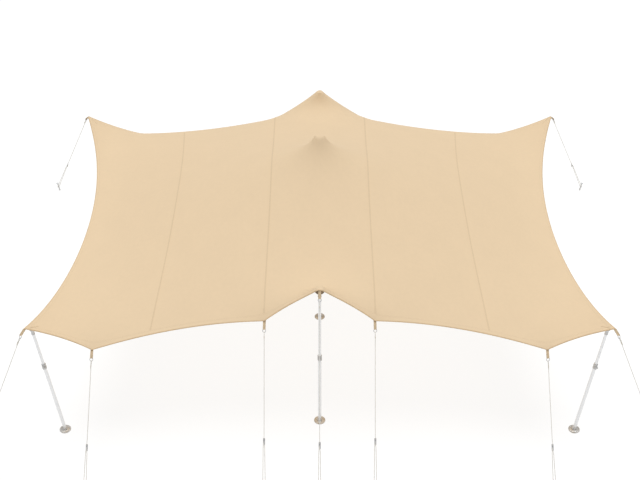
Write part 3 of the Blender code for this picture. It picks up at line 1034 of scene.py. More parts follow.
rings, plates, whippings = [], [], []
for name, tie, loop, spot in ties:
    level, third, up = guy_frame(tie, loop)
    plate_z = (tie - loop).length * TENSIONER_PLACE
    ring_z = ring_place(tie, loop)
    for model, z, lift, group in (
        (hem_ring, ring_z, 0.0, rings),
        (plate, plate_z, 0.0, plates),
        (whipping, ring_z - HEM_RING - 0.085, 0.0, whippings),
        (knot, plate_z - 0.012, -0.0125, whippings),
    ):
        twin = copy_of(model, model.name + "_" + name)
        foot = loop + up * z + third * lift
        aim(twin, foot, foot + up, level)
        group.append(twin)
for model in (hem_ring, plate, whipping, knot):
    bpy.data.objects.remove(model, do_unlink=True)
rings = join("hem_rings", rings)
tensioners = join("tensioners", plates)
whippings = join("whippings", whippings)
print("rings", len(rings.data.polygons), "tensioners", len(tensioners.data.polygons))

# %% [markdown]
# ## Hem straps
#
# A strap of webbing holds each ring: sewn to the patch under the cloth, it passes under the
# roll, turns round the ring and comes back the same way, one layer on the other. It is a
# narrow grid laid along that line, with a thickness.

# %% Straps
STRAP_WIDTH = 0.038
STRAP_THICK = 0.0022
ROLL_CLEAR = 0.0016
TAIL_ABOVE = 0.12
TAIL_BELOW = 0.17
LAYER = STRAP_THICK + 0.0006
UNDER_PATCH = 0.0032
RING_TURN = RING_WIRE + STRAP_THICK / 2 + 0.0003


def ribbon(name, line, side, width, thick):
    """A strap along a line; its UV map is the strap in metres."""
    length = line_length(line)
    rows = len(line) - 1
    bpy.ops.mesh.primitive_grid_add(x_subdivisions=2, y_subdivisions=rows, size=2.0)
    piece = new_piece(name)
    uv = piece.data.uv_layers.active
    uv.name = "cut"
    lengths = [line_length(line[: number + 1]) for number in range(len(line))]
    spots = []
    for vertex in piece.data.vertices:
        number = round((vertex.co.y + 1) / 2 * rows)
        spots.append((vertex.co.x * width / 2, lengths[number]))
        vertex.co = (vertex.co.x * width / 2, 0, lengths[number])
    for loop in piece.data.loops:
        uv.data[loop.index].uv = spots[loop.vertex_index]
    lay_along(piece, line, side)
    thicken(piece, thick / 2, thick / 2)
    return smooth(piece, 50), length


def strap_line(tie, loop, spot):
    """The strap's line in the tent, from its upper tail out to the ring and back below."""
    level, third, up = guy_frame(tie, loop)
    number = int(np.argmin(np.linalg.norm(edge_points - np.array(tie), axis=1)))
    normal = Vector(edge_normals[number])
    roll = Vector(roll_line[number])
    out = (-up - normal * (-up).dot(normal)).normalized()
    at_corner = abs(spot[0]) == SIDE_CUT
    inward = Vector((-spot[0] / SIDE_CUT if at_corner else 0.0, -spot[1] / END_CUT)).normalized()
    under_patch = -CLOTH_THICK - PATCH_THICK - UNDER_PATCH
    under_roll = HEM_RADIUS + ROLL_CLEAR

    def sewn(tail, layer):
        places = []
        for part in (1.0, 0.8, 0.6, 0.4):
            reach = tail * part
            place = on_cloth(spot[0] + inward.x * reach, spot[1] + inward.y * reach, under_patch)
            places.append(place - normal * layer)
        return places

    def below_roll(layer):
        return [roll + out * x + normal * y for x, y in arc(under_roll + layer, -100, -62, 3)]

    ring_top = ring_place(tie, loop) + HEM_RING
    outer = third if third.dot(out) > 0 else -third
    line = sewn(TAIL_ABOVE, 0.0) + below_roll(0.0)
    line += [loop + up * (ring_top + z) + outer * y for y, z in arc(RING_TURN, 0, -180, 8)]
    line += below_roll(LAYER)[::-1] + sewn(TAIL_BELOW, LAYER)[::-1]
    return line, level


straps = []
for name, tie, loop, spot in ties:
    line, level = strap_line(tie, loop, spot)
    strap, strap_length = ribbon("strap_" + name, line, level, STRAP_WIDTH, STRAP_THICK)
    straps.append(strap)
straps = join("hem_straps", straps)
print("straps:", len(ties), "each about", round(strap_length, 2), "m")

# %% [markdown]
# ## Stakes
#
# Each stake is a round steel bar with a forged head, driven in at a slant away from the tent.
# It is extruded from a circle, and cut flat at the ground by a bisect.

# %% Stakes
STAKE_RADIUS = 0.011
STAKE_HEAD_RADIUS = 0.021
STAKE_LENGTH = 0.15
STAKE_SUNK = 0.05
STAKE_LEAN = math.radians(18)


def make_stake(name, tie, loop):
    top = STAKE_SUNK + STAKE_LENGTH
    head = STAKE_HEAD_RADIUS
    profile = [
        (STAKE_RADIUS, 0.0),
        (STAKE_RADIUS, top - 0.02),
        (STAKE_RADIUS + 0.0012, top - 0.0125),
        (STAKE_RADIUS + 0.004, top - 0.0105),
        (head - 0.0015, top - 0.0095),
        (head, top - 0.0075),
        (head, top - 0.0035),
        (head - 0.002, top - 0.0012),
        (head - 0.006, top),
    ]
    stake = turned("steel_stake_" + name, profile, 28)
    outward = Vector((loop.x - tie.x, loop.y - tie.y, 0)).normalized()
    up = outward * math.sin(STAKE_LEAN) + Vector((0, 0, math.cos(STAKE_LEAN)))
    foot = loop - up * (loop.z / up.z + STAKE_SUNK)
    aim(stake, foot, foot + up, (-outward.y, outward.x, 0))
    open_edit(stake)
    bpy.ops.mesh.select_all(action="SELECT")
    bpy.ops.mesh.bisect(plane_co=(0, 0, 0), plane_no=(0, 0, -1), use_fill=True, clear_outer=True)
    close_edit()
    return smooth(stake, 40)


stakes = {name: make_stake(name, tie, loop) for name, tie, loop, spot in ties}
print("stakes:", len(stakes))

# %% [markdown]
# ## Heads and caps under the cloth
#
# A head stands as high as the cloth above it lets it. The cloth's height is found by looking
# down on it from above at many points of the head.

# %% Room under the cloth
from mathutils.bvhtree import BVHTree

canopy_tree = BVHTree.FromPolygons(
    [vertex.co.copy() for vertex in canopy.data.vertices],
    [tuple(face.vertices) for face in canopy.data.polygons],
)


def cloth_above(x, y):
    """Height of the cloth's underside over a point of the ground."""
    hit = canopy_tree.ray_cast(Vector((x, y, 0)), Vector((0, 0, 1)))
    return hit[0].z if hit[0] else math.inf


def head_top(x, y, profile, gap=0.001):
    """Height of a head's top, for a profile of (radius, height under the top)."""
    room = [cloth_above(x, y)]
    for radius, drop in profile:
        for number in range(24):
            angle = number * math.pi / 12
            over = cloth_above(x + radius * math.cos(angle), y + radius * math.sin(angle))
            room.append(over + drop)
    return min(room) - gap


def dome(radius, rise, steps=7):
    """A dome's profile of (radius, height under the top)."""
    ball = (radius**2 + rise**2) / (2 * rise)
    reach = math.asin(min(1.0, radius / ball))
    angles = [reach * step / steps for step in range(1, steps + 1)]
    return [(ball * math.sin(angle), ball * (1 - math.cos(angle))) for angle in angles]

# %% [markdown]
# ## Poles
#
# A pole is two aluminium tubes that slide in each other, a clamp where they meet, and a round
# base plate. The inner tube has a row of holes for the locking pin, cut right through the
# tube's wall.

# %% Poles
TUBE_RADIUS = 0.025
INNER_TUBE_RADIUS = 0.021
TUBE_WALL = 0.0022
COLLAR_HEIGHT = 1.35
COLLAR_LENGTH = 0.09
COLLAR_RADIUS = 0.031
PLATE_RADIUS = 0.085
PLATE_THICK = 0.008
BOSS_RADIUS = 0.034
BOSS_HEIGHT = 0.04
POLE_START = 0.012
LOWER_TUBE_END = COLLAR_HEIGHT + 0.03
INNER_TUBE_START = COLLAR_HEIGHT - 0.1
FIRST_PIN_HOLE = COLLAR_HEIGHT + COLLAR_LENGTH + 0.06
PLAIN_TUBE_END = 0.14
PIN_HOLES = 6
PIN_SPACING = 0.1
PIN_RADIUS = 0.0045


def open_tube(name, radius, bottom, top, wall, sides=40):
    """A tube with a real wall, from a circle extruded up and given a thickness inward."""
    bpy.ops.mesh.primitive_circle_add(
        vertices=sides, radius=radius, fill_type="NOTHING", location=(0, 0, bottom)
    )
    tube = settle(new_piece(name))
    open_edit(tube, "EDGE")
    bpy.ops.mesh.select_all(action="SELECT")
    bpy.ops.mesh.extrude_region_move(TRANSFORM_OT_translate={"value": (0, 0, top - bottom)})
    bpy.ops.mesh.select_all(action="SELECT")
    bpy.ops.mesh.normals_make_consistent(inside=False)
    close_edit()
    return thicken(tube, 0.0, wall)


def base_plate(place):
    """Round plate with a rounded rim, a boss with a weld bead, and four pin holes."""
    profile = [
        (PLATE_RADIUS - 0.001, 0.0),
        (PLATE_RADIUS, 0.001),
        (PLATE_RADIUS, PLATE_THICK - 0.002),
        (PLATE_RADIUS - 0.002, PLATE_THICK),
        (BOSS_RADIUS + 0.005, PLATE_THICK),
        (BOSS_RADIUS + 0.0035, PLATE_THICK + 0.0012),
        (BOSS_RADIUS + 0.0015, PLATE_THICK + 0.003),
        (BOSS_RADIUS, PLATE_THICK + 0.005),
        (BOSS_RADIUS, BOSS_HEIGHT - 0.002),
        (BOSS_RADIUS - 0.002, BOSS_HEIGHT),
    ]
    base = turned("base", profile, 48)
    reach = (PLATE_RADIUS + BOSS_RADIUS) / 2 + 0.003
    holes = []
    for number in range(4):
        angle = math.pi / 4 + number * math.pi / 2
        spot = (reach * math.cos(angle), reach * math.sin(angle), PLATE_THICK / 2)
        holes.append(cylinder("hole", 0.006, 0.03, spot))
    cut_away(base, join("holes", holes))
    bolt = cylinder(
        "bolt", 0.006, 2 * BOSS_RADIUS + 0.012, (0, 0, 0.026), (math.pi / 2, 0, 0), 6
    )
    base = join("base", [base, bolt])
    base.location = place
    return smooth(settle(base), 40)


def make_pole(name, foot, top):
    """Two tubes and a base plate, joined, from the plate on the ground to the top."""
    start = foot + Vector((0, 0, POLE_START))
    length = (top - start).length
    lower = open_tube("lower", TUBE_RADIUS, 0.0, LOWER_TUBE_END, TUBE_WALL)
    inner = open_tube("inner", INNER_TUBE_RADIUS, INNER_TUBE_START, length, TUBE_WALL)
    count = min(PIN_HOLES, int((length - FIRST_PIN_HOLE - PLAIN_TUBE_END) / PIN_SPACING))
    holes = []
    for number in range(count):
        z = FIRST_PIN_HOLE + number * PIN_SPACING
        holes.append(cylinder("hole", PIN_RADIUS, 0.06, (0, 0, z), (math.pi / 2, 0, 0), 16))
    cut_away(inner, join("holes", holes))
    tubes = join("tubes", [lower, inner])
    aim(tubes, start, top)
    smooth(tubes, 40)
    return join(name, [tubes, base_plate(foot)])


def make_clamp(name, foot, top):
    """The locking clamp: a sleeve with ribs, a screw boss and a wing knob."""
    start = foot + Vector((0, 0, POLE_START))
    high = COLLAR_HEIGHT + COLLAR_LENGTH
    r = COLLAR_RADIUS
    profile = [(TUBE_RADIUS + 0.0006, COLLAR_HEIGHT), (r - 0.002, COLLAR_HEIGHT)]
    profile += [(r, COLLAR_HEIGHT + 0.002), (r, COLLAR_HEIGHT + 0.018)]
    for rib in range(4):
        z = COLLAR_HEIGHT + 0.02 + rib * 0.012
        profile += [(r - 0.0016, z), (r - 0.0016, z + 0.005), (r, z + 0.006), (r, z + 0.011)]
    profile += [(r, high - 0.004), (r - 0.003, high), (INNER_TUBE_RADIUS + 0.0006, high + 0.001)]
    sleeve = turned("sleeve", profile, 40)
    middle = COLLAR_HEIGHT + COLLAR_LENGTH / 2
    boss = rounded_box("boss", (0.02, 0.03, 0.05), 0.003, place=(0, -r - 0.008, middle))
    away = -r - 0.012
    level = (0, math.pi / 2, 0)
    screw = cylinder("screw", 0.004, 0.05, (0, away, middle), level, 16)
    knob = rounded_box("knob", (0.01, 0.03, 0.012), 0.003, 3, (0.026, away, middle))
    hub = cylinder("hub", 0.008, 0.012, (0.02, away, middle), level, 18)
    clamp = join(name, [sleeve, boss, screw, knob, hub])
    aim(clamp, start, top)
    return smooth(clamp, 35)

# %% [markdown]
# ## The two ridge poles and their caps
#
# The cloth rides over a shallow round cap at each end of the ridge. The cap has a rolled rim,
# and a socket that goes over the tube.

# %% Ridge poles
LEAN = 0.2
HEAD_INSET = 0.075
UNDER_LAYERS = 0.005
RIDGE_HEAD = 0.064
RIDGE_HEAD_RISE = 0.009
SOCKET_DEPTH = 0.09
CAP_SEAT = 0.022
SOCKET_WALL = 0.0045
TUBE_GAP = 0.001


def bored(piece, seat):
    """Cuts the socket for the tube's end up to a place under the top."""
    depth = SOCKET_DEPTH + 0.04
    place = (0, 0, -seat - depth / 2)
    return cut_away(piece, cylinder("bore", INNER_TUBE_RADIUS + 0.0008, depth, place, sides=48))


def socket_profile(seat):
    """The outside of a socket, from its mouth up, as (radius, height from the top)."""
    outside = INNER_TUBE_RADIUS + SOCKET_WALL
    foot = -seat - SOCKET_DEPTH
    return [
        (outside - 0.001, foot),
        (outside, foot + 0.001),
        (outside, foot + 0.012),
        (outside - 0.0012, foot + 0.0132),
        (outside - 0.0012, -seat - 0.01),
    ]


def make_disc_cap(name, foot, top):
    r = RIDGE_HEAD
    profile = socket_profile(CAP_SEAT)
    profile += [(INNER_TUBE_RADIUS + 0.007, -0.024), (INNER_TUBE_RADIUS + 0.014, -0.0175)]
    profile += [(r - 0.008, -0.014), (r - 0.002, -0.0135), (r, -0.0115), (r, -0.0065)]
    profile += [(radius, -drop) for radius, drop in reversed(dome(r, RIDGE_HEAD_RISE)[:-1])]
    cap = bored(turned(name, profile, 48), CAP_SEAT)
    aim(cap, top, top + (top - foot).normalized())
    return smooth(cap, 40)


poles, clamps, caps = {}, [], {}
for face, name in FACES:
    top_y = face * (RIDGE_Y - HEAD_INSET)
    foot = Vector((0, face * (RIDGE_Y - HEAD_INSET - LEAN), 0))
    room = head_top(0, top_y, dome(RIDGE_HEAD, RIDGE_HEAD_RISE), UNDER_LAYERS)
    top = Vector((0, top_y, room))
    caps[name] = make_disc_cap("ridge_cap_" + name, foot, top)
    seat = top - (top - foot).normalized() * (CAP_SEAT + TUBE_GAP)
    poles[name] = make_pole("tubes_" + name, foot, seat)
    clamps.append(make_clamp("clamp_" + name, foot, seat))
print("ridge poles stand", round(top.z, 3), "m high")

# %% [markdown]
# ## The centre pole and its bar
#
# The peak is drawn over a short thick bar: an oval block with a rounded top, whose two ends
# push up as two low lobes. It is turned round first and then made oval, and its top is bent to
# the cloth's held patch. It stands as high as the cloth lets it.

# %% Centre pole
BAR_HALF_WIDTH = 0.066
BAR_HALF_DEPTH = 0.05
BAR_THICK = 0.052
BAR_SEAT = 0.036
BAR_CLEAR = 0.003
BAR_SIDE_FOOT = -0.045
NECK_RADIUS = 0.03
TOP_RINGS = 9


def saddle(x, y):
    """Height of the bar's top over its own middle."""
    return PEAK_DIP * (x / PEAK_HALF_WIDTH) ** 2 - PEAK_ROUND * (y / PEAK_HALF_DEPTH) ** 2


wide = BAR_HALF_WIDTH
profile = socket_profile(BAR_THICK)
profile += [(0.028, -0.0585), (0.034, -0.0535), (wide - 0.006, -BAR_THICK)]
profile += [(wide - 0.002, -0.0505), (wide, -0.048)]
profile += [(wide, -0.004), (wide - 0.0006, -0.002), (wide - 0.0022, -0.0006)]
profile += [((wide - 0.004) * ring / TOP_RINGS, 0.0) for ring in range(TOP_RINGS, 0, -1)]
centre_cap = turned("bar_cap", profile, 64)
narrow = BAR_HALF_DEPTH / BAR_HALF_WIDTH
for vertex in centre_cap.data.vertices:
    radius = math.hypot(vertex.co.x, vertex.co.y)
    on_bar = vertex.co.z > BAR_SIDE_FOOT
    oval = 1.0 if on_bar else min(1.0, max(0.0, radius / NECK_RADIUS - 1))
    vertex.co.y *= 1 - (1 - narrow) * oval
    if on_bar:
        vertex.co.z += saddle(vertex.co.x, vertex.co.y)
bored(centre_cap, BAR_SEAT)
room = [
    cloth_above(vertex.co.x, vertex.co.y) - vertex.co.z for vertex in centre_cap.data.vertices
]
centre_cap.location = (0, 0, min(room) - BAR_CLEAR)
seat = Vector((0, 0, centre_cap.location.z - BAR_SEAT - TUBE_GAP))
caps["centre"] = smooth(settle(centre_cap), 40)
poles["centre"] = make_pole("tubes_centre", Vector((0, 0, 0)), seat)
clamps.append(make_clamp("clamp_centre", Vector((0, 0, 0)), seat))
print("centre cap:", len(centre_cap.data.polygons), "faces")

# %% [markdown]
# ## The corner poles
#
# At each corner a round head pushes up into the reinforced cloth a hand's width in from the
# corner, and the corner's guy line pulls against it.

# %% Corner poles
CORNER_INSET = 0.11
CORNER_HEAD = 0.038
CORNER_SEAT = 0.04

head_profile = socket_profile(CORNER_SEAT)
head_profile += [(INNER_TUBE_RADIUS + 0.006, -0.046), (CORNER_HEAD - 0.004, -0.038)]
head_profile += [(CORNER_HEAD - 0.0005, -0.034)]
rounded = dome(CORNER_HEAD, CORNER_HEAD * 0.8, 9)
head_profile += [(radius, -drop) for radius, drop in reversed(rounded)]
corner_head = smooth(bored(turned("corner_head", head_profile, 40), CORNER_SEAT), 40)

corner_heads = []
inward = Vector((CORNER[0], CORNER[1] * 1.4, 0.0)).normalized()
for face, face_name in FACES:
    for side, side_name in SIDES:
        name = f"{face_name}_{side_name}"
        corner = Vector((side * CORNER[0], face * CORNER[1], 0.0))
        way = Vector((side * inward.x, face * inward.y, 0.0))
        top = corner - way * CORNER_INSET
        top.z = head_top(top.x, top.y, rounded, UNDER_LAYERS)
        foot = corner - way * (CORNER_INSET + LEAN)
        up = (top - foot).normalized()
        head = copy_of(corner_head, "head_" + name)
        aim(head, top, top + up)
        corner_heads.append(head)
        seat = top - up * (CORNER_SEAT + TUBE_GAP)
        poles[name] = make_pole("tubes_" + name, foot, seat)
        clamps.append(make_clamp("clamp_" + name, foot, seat))
bpy.data.objects.remove(corner_head, do_unlink=True)
corner_heads = join("corner_heads", corner_heads)
clamps = join("clamps", clamps)
print("poles:", len(poles), "clamps:", len(clamps.data.polygons), "faces")

# %% [markdown]
# ## Materials
#
# Every material is procedural. Cloth, seams and webbing read their UV map, which is the flat
# cut cloth in metres, so that ribs and stitches keep their real size. Metal, rope and plastic
# read their place in the tent. The patterns live in node groups that give out only shades,
# masks and heights, and each material decides what to do with them.

# %% Node helpers
def group_of(name, inputs, outputs):
    """A node group with number and vector sockets, with the nodes at its two ends."""
    group = bpy.data.node_groups.new(name, "ShaderNodeTree")
    for label in inputs:
        kind = "NodeSocketVector" if label in ("Cut", "Place") else "NodeSocketFloat"
        group.interface.new_socket(label, in_out="INPUT", socket_type=kind)
    for label in outputs:
        group.interface.new_socket(label, in_out="OUTPUT", socket_type="NodeSocketFloat")
    return group, group.nodes.new("NodeGroupInput"), group.nodes.new("NodeGroupOutput")


def maths(tree, operation, *values):
    """A Math node; each value is a number or another node's output."""
    node = tree.nodes.new("ShaderNodeMath")
    node.operation = operation
    for socket, value in zip(node.inputs, values):
        if isinstance(value, (int, float)):
            socket.default_value = value
        else:
            tree.links.new(value, socket)
    return node.outputs[0]


def ramp(tree, value, low, high, start=0.0, end=1.0):
    """Maps a value from the range low to high onto start to end, and holds it there."""
    node = tree.nodes.new("ShaderNodeMapRange")
    for label, number in zip(("From Min", "From Max", "To Min", "To Max"), (low, high, start, end)):
        node.inputs[label].default_value = number
    tree.links.new(value, node.inputs["Value"])
    return node.outputs["Result"]


def noise(tree, place, scale, detail=2.0, stretch=None):
    """A noise value, finer with scale, and drawn out along an axis by stretch."""
    if stretch:
        mapping = tree.nodes.new("ShaderNodeMapping")
        mapping.inputs["Scale"].default_value = stretch
        tree.links.new(place, mapping.inputs["Vector"])
        place = mapping.outputs["Vector"]
    node = tree.nodes.new("ShaderNodeTexNoise")
    node.inputs["Scale"].default_value = scale
    node.inputs["Detail"].default_value = detail
    tree.links.new(place, node.inputs["Vector"])
    return node.outputs["Fac"]


def parts_of(tree, vector):
    """The x, y and z outputs of a vector."""
    node = tree.nodes.new("ShaderNodeSeparateXYZ")
    tree.links.new(vector, node.inputs[0])
    return node.outputs

# %% [markdown]
# The cloth is a fine knit with ribs 3 mm apart one way and 2.2 mm the other. A soft mottle of
# about two parts in a hundred keeps the big sheet from looking like plain paint.

# %% Knit and mottle
RIB = 0.003
COURSE = 0.0022
MOTTLE = 0.018

knit, ins, outs = group_of("knit", ["Cut"], ["Shade", "Height"])
x, y, z = parts_of(knit, ins.outputs["Cut"])
ribs = maths(knit, "SINE", maths(knit, "MULTIPLY", x, 2 * math.pi / RIB))
courses = maths(knit, "SINE", maths(knit, "MULTIPLY", y, 2 * math.pi / COURSE))
weave = maths(knit, "MULTIPLY_ADD", ribs, 0.6, maths(knit, "MULTIPLY", courses, 0.4))
knit.links.new(ramp(knit, weave, -1.0, 1.0), outs.inputs["Height"])
wide = noise(knit, ins.outputs["Cut"], 2.4, 3.0)
near = noise(knit, ins.outputs["Cut"], 17.0, 2.0)
mixed = maths(knit, "ADD", wide, near)
shade = ramp(knit, mixed, 0.6, 1.4, 1 - MOTTLE, 1 + MOTTLE)
knit.links.new(shade, outs.inputs["Shade"])
print("knit group:", len(knit.nodes), "nodes")

# %% [markdown]
# A row of stitching is a line of short dashes at a distance from a seam. The group takes the
# distance across the seam and the place along it, and draws two rows, one on each side.

# %% Stitching
STITCH = 0.0048
STITCH_FILL = 0.72
THREAD_HALF = 0.0006
ROW_FROM_MIDDLE = 0.0058

stitching, ins, outs = group_of("stitching", ["Across", "Along"], ["Thread"])
from_seam = maths(stitching, "ABSOLUTE", ins.outputs["Across"])
off_row = maths(stitching, "ABSOLUTE", maths(stitching, "SUBTRACT", from_seam, ROW_FROM_MIDDLE))
on_row = ramp(stitching, off_row, THREAD_HALF * 1.3, THREAD_HALF * 0.7)
turn = maths(stitching, "FRACT", maths(stitching, "DIVIDE", ins.outputs["Along"], STITCH))
from_middle = maths(stitching, "ABSOLUTE", maths(stitching, "SUBTRACT", turn, 0.5))
on_dash = ramp(stitching, from_middle, STITCH_FILL / 2 + 0.06, STITCH_FILL / 2 - 0.06)
stitching.links.new(maths(stitching, "MULTIPLY", on_row, on_dash), outs.inputs["Thread"])

# %% [markdown]
# Webbing has a herringbone twill: slanting ribs that meet along its middle. Dust from the
# ground is thickest at the foot of things, and patchy. Brushed metal has long fine scratches
# along the tubes.

# %% Webbing, dust and brushed metal
TWILL = 0.0042
DUST_HEIGHT = 0.22

webbing, ins, outs = group_of("webbing", ["Cut"], ["Shade", "Height"])
x, y, z = parts_of(webbing, ins.outputs["Cut"])
slant = maths(webbing, "ADD", maths(webbing, "ABSOLUTE", x), y)
rib = maths(webbing, "SINE", maths(webbing, "MULTIPLY", slant, 2 * math.pi / TWILL))
webbing.links.new(ramp(webbing, rib, -1.0, 1.0), outs.inputs["Height"])
# The Shade output darkens the twill's hollows: painted shade, on top of the bump.
webbing.links.new(ramp(webbing, rib, -1.0, 1.0, 0.9, 1.03), outs.inputs["Shade"])

dust, ins, outs = group_of("ground_dust", ["Place"], ["Mask"])
x, y, z = parts_of(dust, ins.outputs["Place"])
low = ramp(dust, z, DUST_HEIGHT, 0.0)
patchy = ramp(dust, noise(dust, ins.outputs["Place"], 55.0, 4.0), 0.35, 0.7)
dust.links.new(
    maths(dust, "MULTIPLY", maths(dust, "MULTIPLY", low, low), patchy), outs.inputs["Mask"]
)

brushed, ins, outs = group_of("brushed", ["Place"], ["Shade", "Roughness", "Height"])
scratches = noise(brushed, ins.outputs["Place"], 1.0, 3.0, (1400.0, 1400.0, 18.0))
smears = noise(brushed, ins.outputs["Place"], 9.0, 3.0)
brushed.links.new(scratches, outs.inputs["Height"])
brushed.links.new(ramp(brushed, scratches, 0.3, 0.7, 0.97, 1.02), outs.inputs["Shade"])
brushed.links.new(ramp(brushed, smears, 0.3, 0.7, 0.3, 0.42), outs.inputs["Roughness"])

# %% [markdown]
# A small class keeps each material short: it makes the Principled shader, multiplies its
# colour by shades, blends another colour in by a mask, and adds a bump from a height.

# %% Building a material
class Finish:
    def __init__(self, name, colour, roughness, metallic=0.0):
        self.material = bpy.data.materials.new(name)
        self.material.use_nodes = True
        self.tree = self.material.node_tree
        self.shader = self.tree.nodes["Principled BSDF"]
        self.shader.inputs["Base Color"].default_value = (*colour, 1.0)
        self.shader.inputs["Roughness"].default_value = roughness
        self.shader.inputs["Metallic"].default_value = metallic
        self.colour = None
        self.plain_colour = (*colour, 1.0)

    def cut(self):
        """The UV map of the cut cloth, in metres."""
        node = self.tree.nodes.new("ShaderNodeUVMap")
        node.uv_map = "cut"
        return node.outputs["UV"]

    def place(self):
        return self.tree.nodes.new("ShaderNodeTexCoord").outputs["Object"]

    def use(self, group, **links):
        """Adds a node group, links its inputs, and gives its outputs."""
        node = self.tree.nodes.new("ShaderNodeGroup")
        node.node_tree = group
        for label, source in links.items():
            self.tree.links.new(source, node.inputs[label])
        return node.outputs

    def mix(self, mode, factor, value):
        """Puts a colour or a value over the base colour."""
        node = self.tree.nodes.new("ShaderNodeMix")
        node.data_type = "RGBA"
        node.blend_type = mode
        taken = {socket.identifier: socket for socket in node.inputs}
        base, over = taken["A_Color"], taken["B_Color"]
        if self.colour is None:
            base.default_value = self.plain_colour
        else:
            self.tree.links.new(self.colour, base)
        if isinstance(value, tuple):
            over.default_value = (*value, 1.0)
        else:
            self.tree.links.new(value, over)
        if isinstance(factor, float):
            taken["Factor_Float"].default_value = factor
        else:
            self.tree.links.new(factor, taken["Factor_Float"])
        given = {socket.identifier: socket for socket in node.outputs}
        self.colour = given["Result_Color"]
        self.tree.links.new(self.colour, self.shader.inputs["Base Color"])

    def shade(self, value):
        self.mix("MULTIPLY", 1.0, value)

    def bump(self, height, distance, strength=1.0):
        """Adds a bump over the ones before it."""
        node = self.tree.nodes.new("ShaderNodeBump")
        node.inputs["Distance"].default_value = distance
        node.inputs["Strength"].default_value = strength
        self.tree.links.new(height, node.inputs["Height"])
        before = self.shader.inputs["Normal"].links
        if before:
            self.tree.links.new(before[0].from_socket, node.inputs["Normal"])
        self.tree.links.new(node.outputs["Normal"], self.shader.inputs["Normal"])

# %% [markdown]
# The cloth, its seams and its rolled hem are one sand cloth. The seams are painted a darker
# sand: painted shade for the little shadow that their two pressed layers hold. The roll is
# painted a deeper tan: partly its own denser layers of cloth, partly painted shade for its
# underside, which turns away from the light.

# %% Cloth, seams and hem
SAND = (0.79, 0.612, 0.405)
# The seams' darker sand is painted shade for the little shadow their pressed layers hold.
SEAM_SAND_PAINTED_SHADE = (0.735, 0.566, 0.37)
# The roll's deeper tan is partly its own denser cloth, partly painted shade for its underside.
ROLL_TAN_AND_PAINTED_SHADE = (0.70, 0.52, 0.32)
THREAD = (0.58, 0.43, 0.27)
HEM_ROW = HEM_BAND - 0.003

cloth = Finish("sand_stretch_cloth", SAND, 0.93)
cut = cloth.cut()
knit_out = cloth.use(knit, Cut=cut)
cloth.shade(knit_out["Shade"])
x, y, z = parts_of(cloth.tree, cut)
threads = []
for place, along_it, half in ((x, y, SIDE_CUT), (y, x, END_CUT)):
    from_edge = maths(cloth.tree, "SUBTRACT", half - HEM_ROW, maths(cloth.tree, "ABSOLUTE", place))
    threads.append(cloth.use(stitching, Across=from_edge, Along=along_it)["Thread"])
thread = maths(cloth.tree, "MAXIMUM", *threads)
cloth.mix("MIX", thread, THREAD)
cloth.bump(knit_out["Height"], 0.00025, 0.5)
cloth.bump(thread, 0.0005, 0.7)

# The seam cloth's darker sand is painted shade; its stitching is real thread.
seam_cloth_painted_shade = Finish("seam_cloth_painted_shade", SEAM_SAND_PAINTED_SHADE, 0.93)
cut = seam_cloth_painted_shade.cut()
knit_out = seam_cloth_painted_shade.use(knit, Cut=cut)
seam_cloth_painted_shade.shade(knit_out["Shade"])
x, y, z = parts_of(seam_cloth_painted_shade.tree, cut)
tree = seam_cloth_painted_shade.tree
from_middle = maths(tree, "ABSOLUTE", x)
from_pair = maths(tree, "ABSOLUTE", maths(tree, "SUBTRACT", from_middle, ROLL_WIDTH))
from_seam = maths(tree, "SUBTRACT", from_pair, ROLL_WIDTH / 2)
thread = seam_cloth_painted_shade.use(stitching, Across=from_seam, Along=y)["Thread"]
seam_cloth_painted_shade.mix("MIX", thread, THREAD)
seam_cloth_painted_shade.bump(knit_out["Height"], 0.00025, 0.5)
seam_cloth_painted_shade.bump(thread, 0.0005, 0.8)

# The roll's deeper tan: partly the denser cloth of the roll, partly painted shade for its
# underside.
roll_cloth_painted_shade = Finish("rolled_hem_painted_shade", ROLL_TAN_AND_PAINTED_SHADE, 0.9)
place = roll_cloth_painted_shade.place()
fine = noise(roll_cloth_painted_shade.tree, place, 900.0, 2.0)
roll_cloth_painted_shade.shade(ramp(roll_cloth_painted_shade.tree, noise(roll_cloth_painted_shade.tree, place, 26.0), 0.3, 0.7, 0.96, 1.03))
roll_cloth_painted_shade.bump(fine, 0.0004, 0.5)

patch_cloth = Finish("patch_cloth", (0.77, 0.596, 0.392), 0.93)
knit_out = patch_cloth.use(knit, Cut=patch_cloth.cut())
patch_cloth.shade(knit_out["Shade"])
patch_cloth.bump(knit_out["Height"], 0.00025, 0.5)
print("cloth nodes:", len(cloth.tree.nodes))

# %% [markdown]
# Webbing and ropes: the straps are tan webbing, the ropes off-white, with a little dust where
# they reach the ground.

# %% Webbing and rope
DUST = (0.52, 0.46, 0.37)

strap_web = Finish("strap_webbing", (0.66, 0.51, 0.33), 0.85)
web_out = strap_web.use(webbing, Cut=strap_web.cut())
# The twill's hollows are darkened here as painted shade.
strap_web.shade(web_out["Shade"])
strap_web.bump(web_out["Height"], 0.0006, 0.7)

rope_yarn = Finish("rope_yarn", (0.83, 0.81, 0.75), 0.8)
place = rope_yarn.place()
rope_yarn.shade(ramp(rope_yarn.tree, noise(rope_yarn.tree, place, 420.0, 3.0), 0.3, 0.7, 0.88, 1.0))
rope_yarn.mix("MIX", rope_yarn.use(dust, Place=place)["Mask"], DUST)
rope_yarn.bump(noise(rope_yarn.tree, place, 1500.0, 2.0), 0.0004, 0.6)

twine = Finish("whipping_twine", (0.74, 0.70, 0.62), 0.8)
twine.bump(noise(twine.tree, twine.place(), 1200.0), 0.0003, 0.6)

# %% [markdown]
# Metal and plastic: satin aluminium tubes, zinc-plated steel, and moulded caps and clamps.

